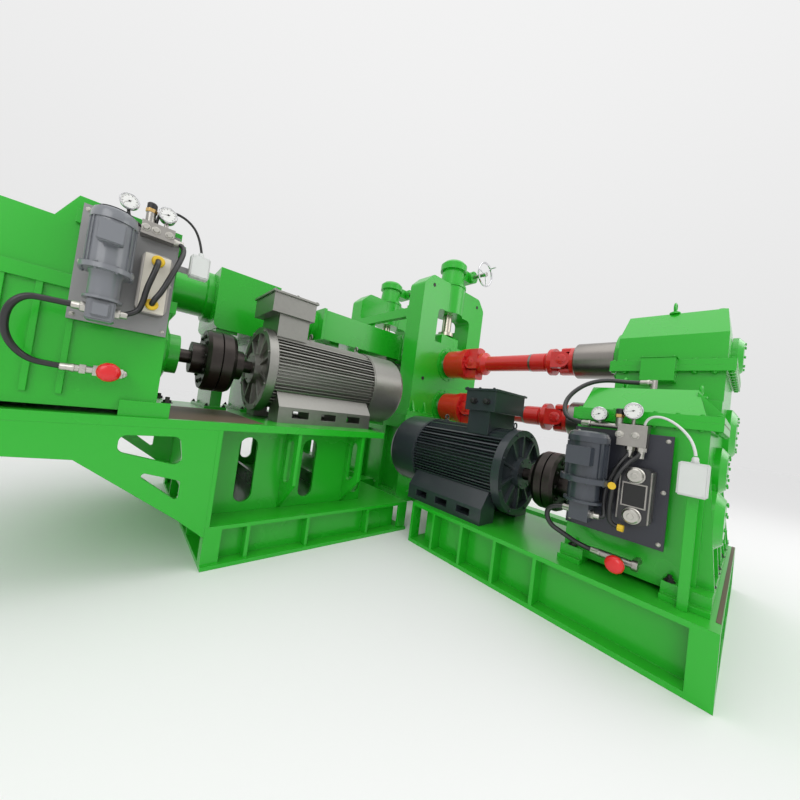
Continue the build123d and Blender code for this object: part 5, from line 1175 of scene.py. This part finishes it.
def calender_nuts(mesh):
    for x in (0.296, 0.345):
        nut(mesh, (x, -0.050, 1.040), UP, 0.022)
        ferrule(mesh, (x, -0.052, 1.032), (0, -0.1, -1), 0.017)
    for x in (0.245, 0.315):
        hex_bolt(mesh, (x, -0.070, 1.108), NEAR, 0.015)
    ferrule(mesh, (0.166, -0.1286, 0.655), RIGHT, 0.018)
    nut(mesh, (0.172, -0.1286, 0.655), RIGHT, 0.022)
    disc(mesh, (0.060, -0.12864, 0.6534), RIGHT, 0.024, 0.012, 6)


def extruder_nuts(mesh):
    ferrule(mesh, (0.166, -0.132, 1.350), RIGHT, 0.018)
    nut(mesh, (0.172, -0.132, 1.350), RIGHT, 0.023)
    ferrule(mesh, (0.070, -0.132, 1.350), LEFT, 0.019)
    nut(mesh, (0.064, -0.132, 1.350), RIGHT, 0.024)
    ferrule(mesh, (0.342, -0.031, 1.800), RIGHT, 0.018)
    ferrule(mesh, (0.060, -0.045, 1.078), LEFT, 0.020)
    for x in (0.225, 0.265, 0.320):
        hex_bolt(mesh, (x, -0.062, 1.815), NEAR, 0.014)


def hose_ends(mesh):
    for route in (suction_route, return_route):
        for end in (route[0], route[-1]):
            ferrule(mesh, end, FAR, 0.020)


on_panel("calender_pipe_nuts", calender_nuts, "bolt_zinc")
on_panel("extruder_pipe_nuts", extruder_nuts, "bolt_zinc")
on_panel("calender_yellow_tags", shape(each, disc, YELLOW_TAGS), "cap_yellow")
piece("hose_ends", hose_ends, "frame", "bolt_zinc")
print("line ends done")

# %% [markdown]
# ## The junction boxes
# A junction box is a moulded tray with a lid held by four screws at its corners, and the
# cable enters through a gland on top. The seam of the lid and the screws make its size
# easy to read.

# %% Junction boxes with lids
LID_DEPTH, LID_SEAM, SCREW_INSET = 0.022, 0.0015, 0.012
JUNCTION_BOXES = {
    "calender": ((-1.335, -3.514, 0.862), (-1.260, -3.408, 1.016), LEFT, (-1.298, -3.462, 1.016)),
    "extruder": ((-3.106, -1.588, 1.650), (-3.016, -1.523, 1.768), NEAR, (-3.061, -1.558, 1.764)),
}


def junction_box(mesh, low, high, way, gland_at):
    axis = 0 if way[0] else 1
    tray_low, lid_high = list(low), list(high)
    tray_low[axis] += LID_DEPTH + LID_SEAM
    lid_high[axis] = low[axis] + LID_DEPTH
    box(mesh, tray_low, high, 0.005)
    box(mesh, low, lid_high, 0.006)
    insets = [(a + SCREW_INSET, b - SCREW_INSET) for a, b in zip(low, high)]
    insets[axis] = (low[axis],)
    for spot in itertools.product(*insets):
        disc(mesh, spot, way, 0.005, 0.0008, 12)
    disc(mesh, gland_at, UP, 0.017, 0.008, 6)
    button(mesh, gland_at, UP, (0.013, 0.020), (0.009, 0.028), 20, 0.008)


for word, values in JUNCTION_BOXES.items():
    lidded = piece(word + "_box_with_lid", shape(junction_box, *values), "frame", "box_grey")
    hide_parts(word + "_junction_box")
print("junction boxes", len(JUNCTION_BOXES))

# %% [markdown]
# ## Studs on the extruder's deck
# The feet of the extruder's gear case and of the pedestals under its throat are held
# down by black studs. Each stud shows a little thread above its nut.

# %% Deck studs
def deck_studs(mesh):
    studs(mesh, grid((-3.10,), (-1.44, -0.95, -0.40, 0.10, 0.40), 0.951), 0.020)
    studs(mesh, grid((-2.70, -2.56, -2.395, -2.256), (-0.33, 0.33), 0.894), 0.014)


piece("foundation_bolts", deck_studs, "frame", "bolt_black")
print("deck studs done")

# %% [markdown]
# ## Finish
# The solid model sets the size. The script ends by printing how many pieces were added.


print("pieces added", len(made))
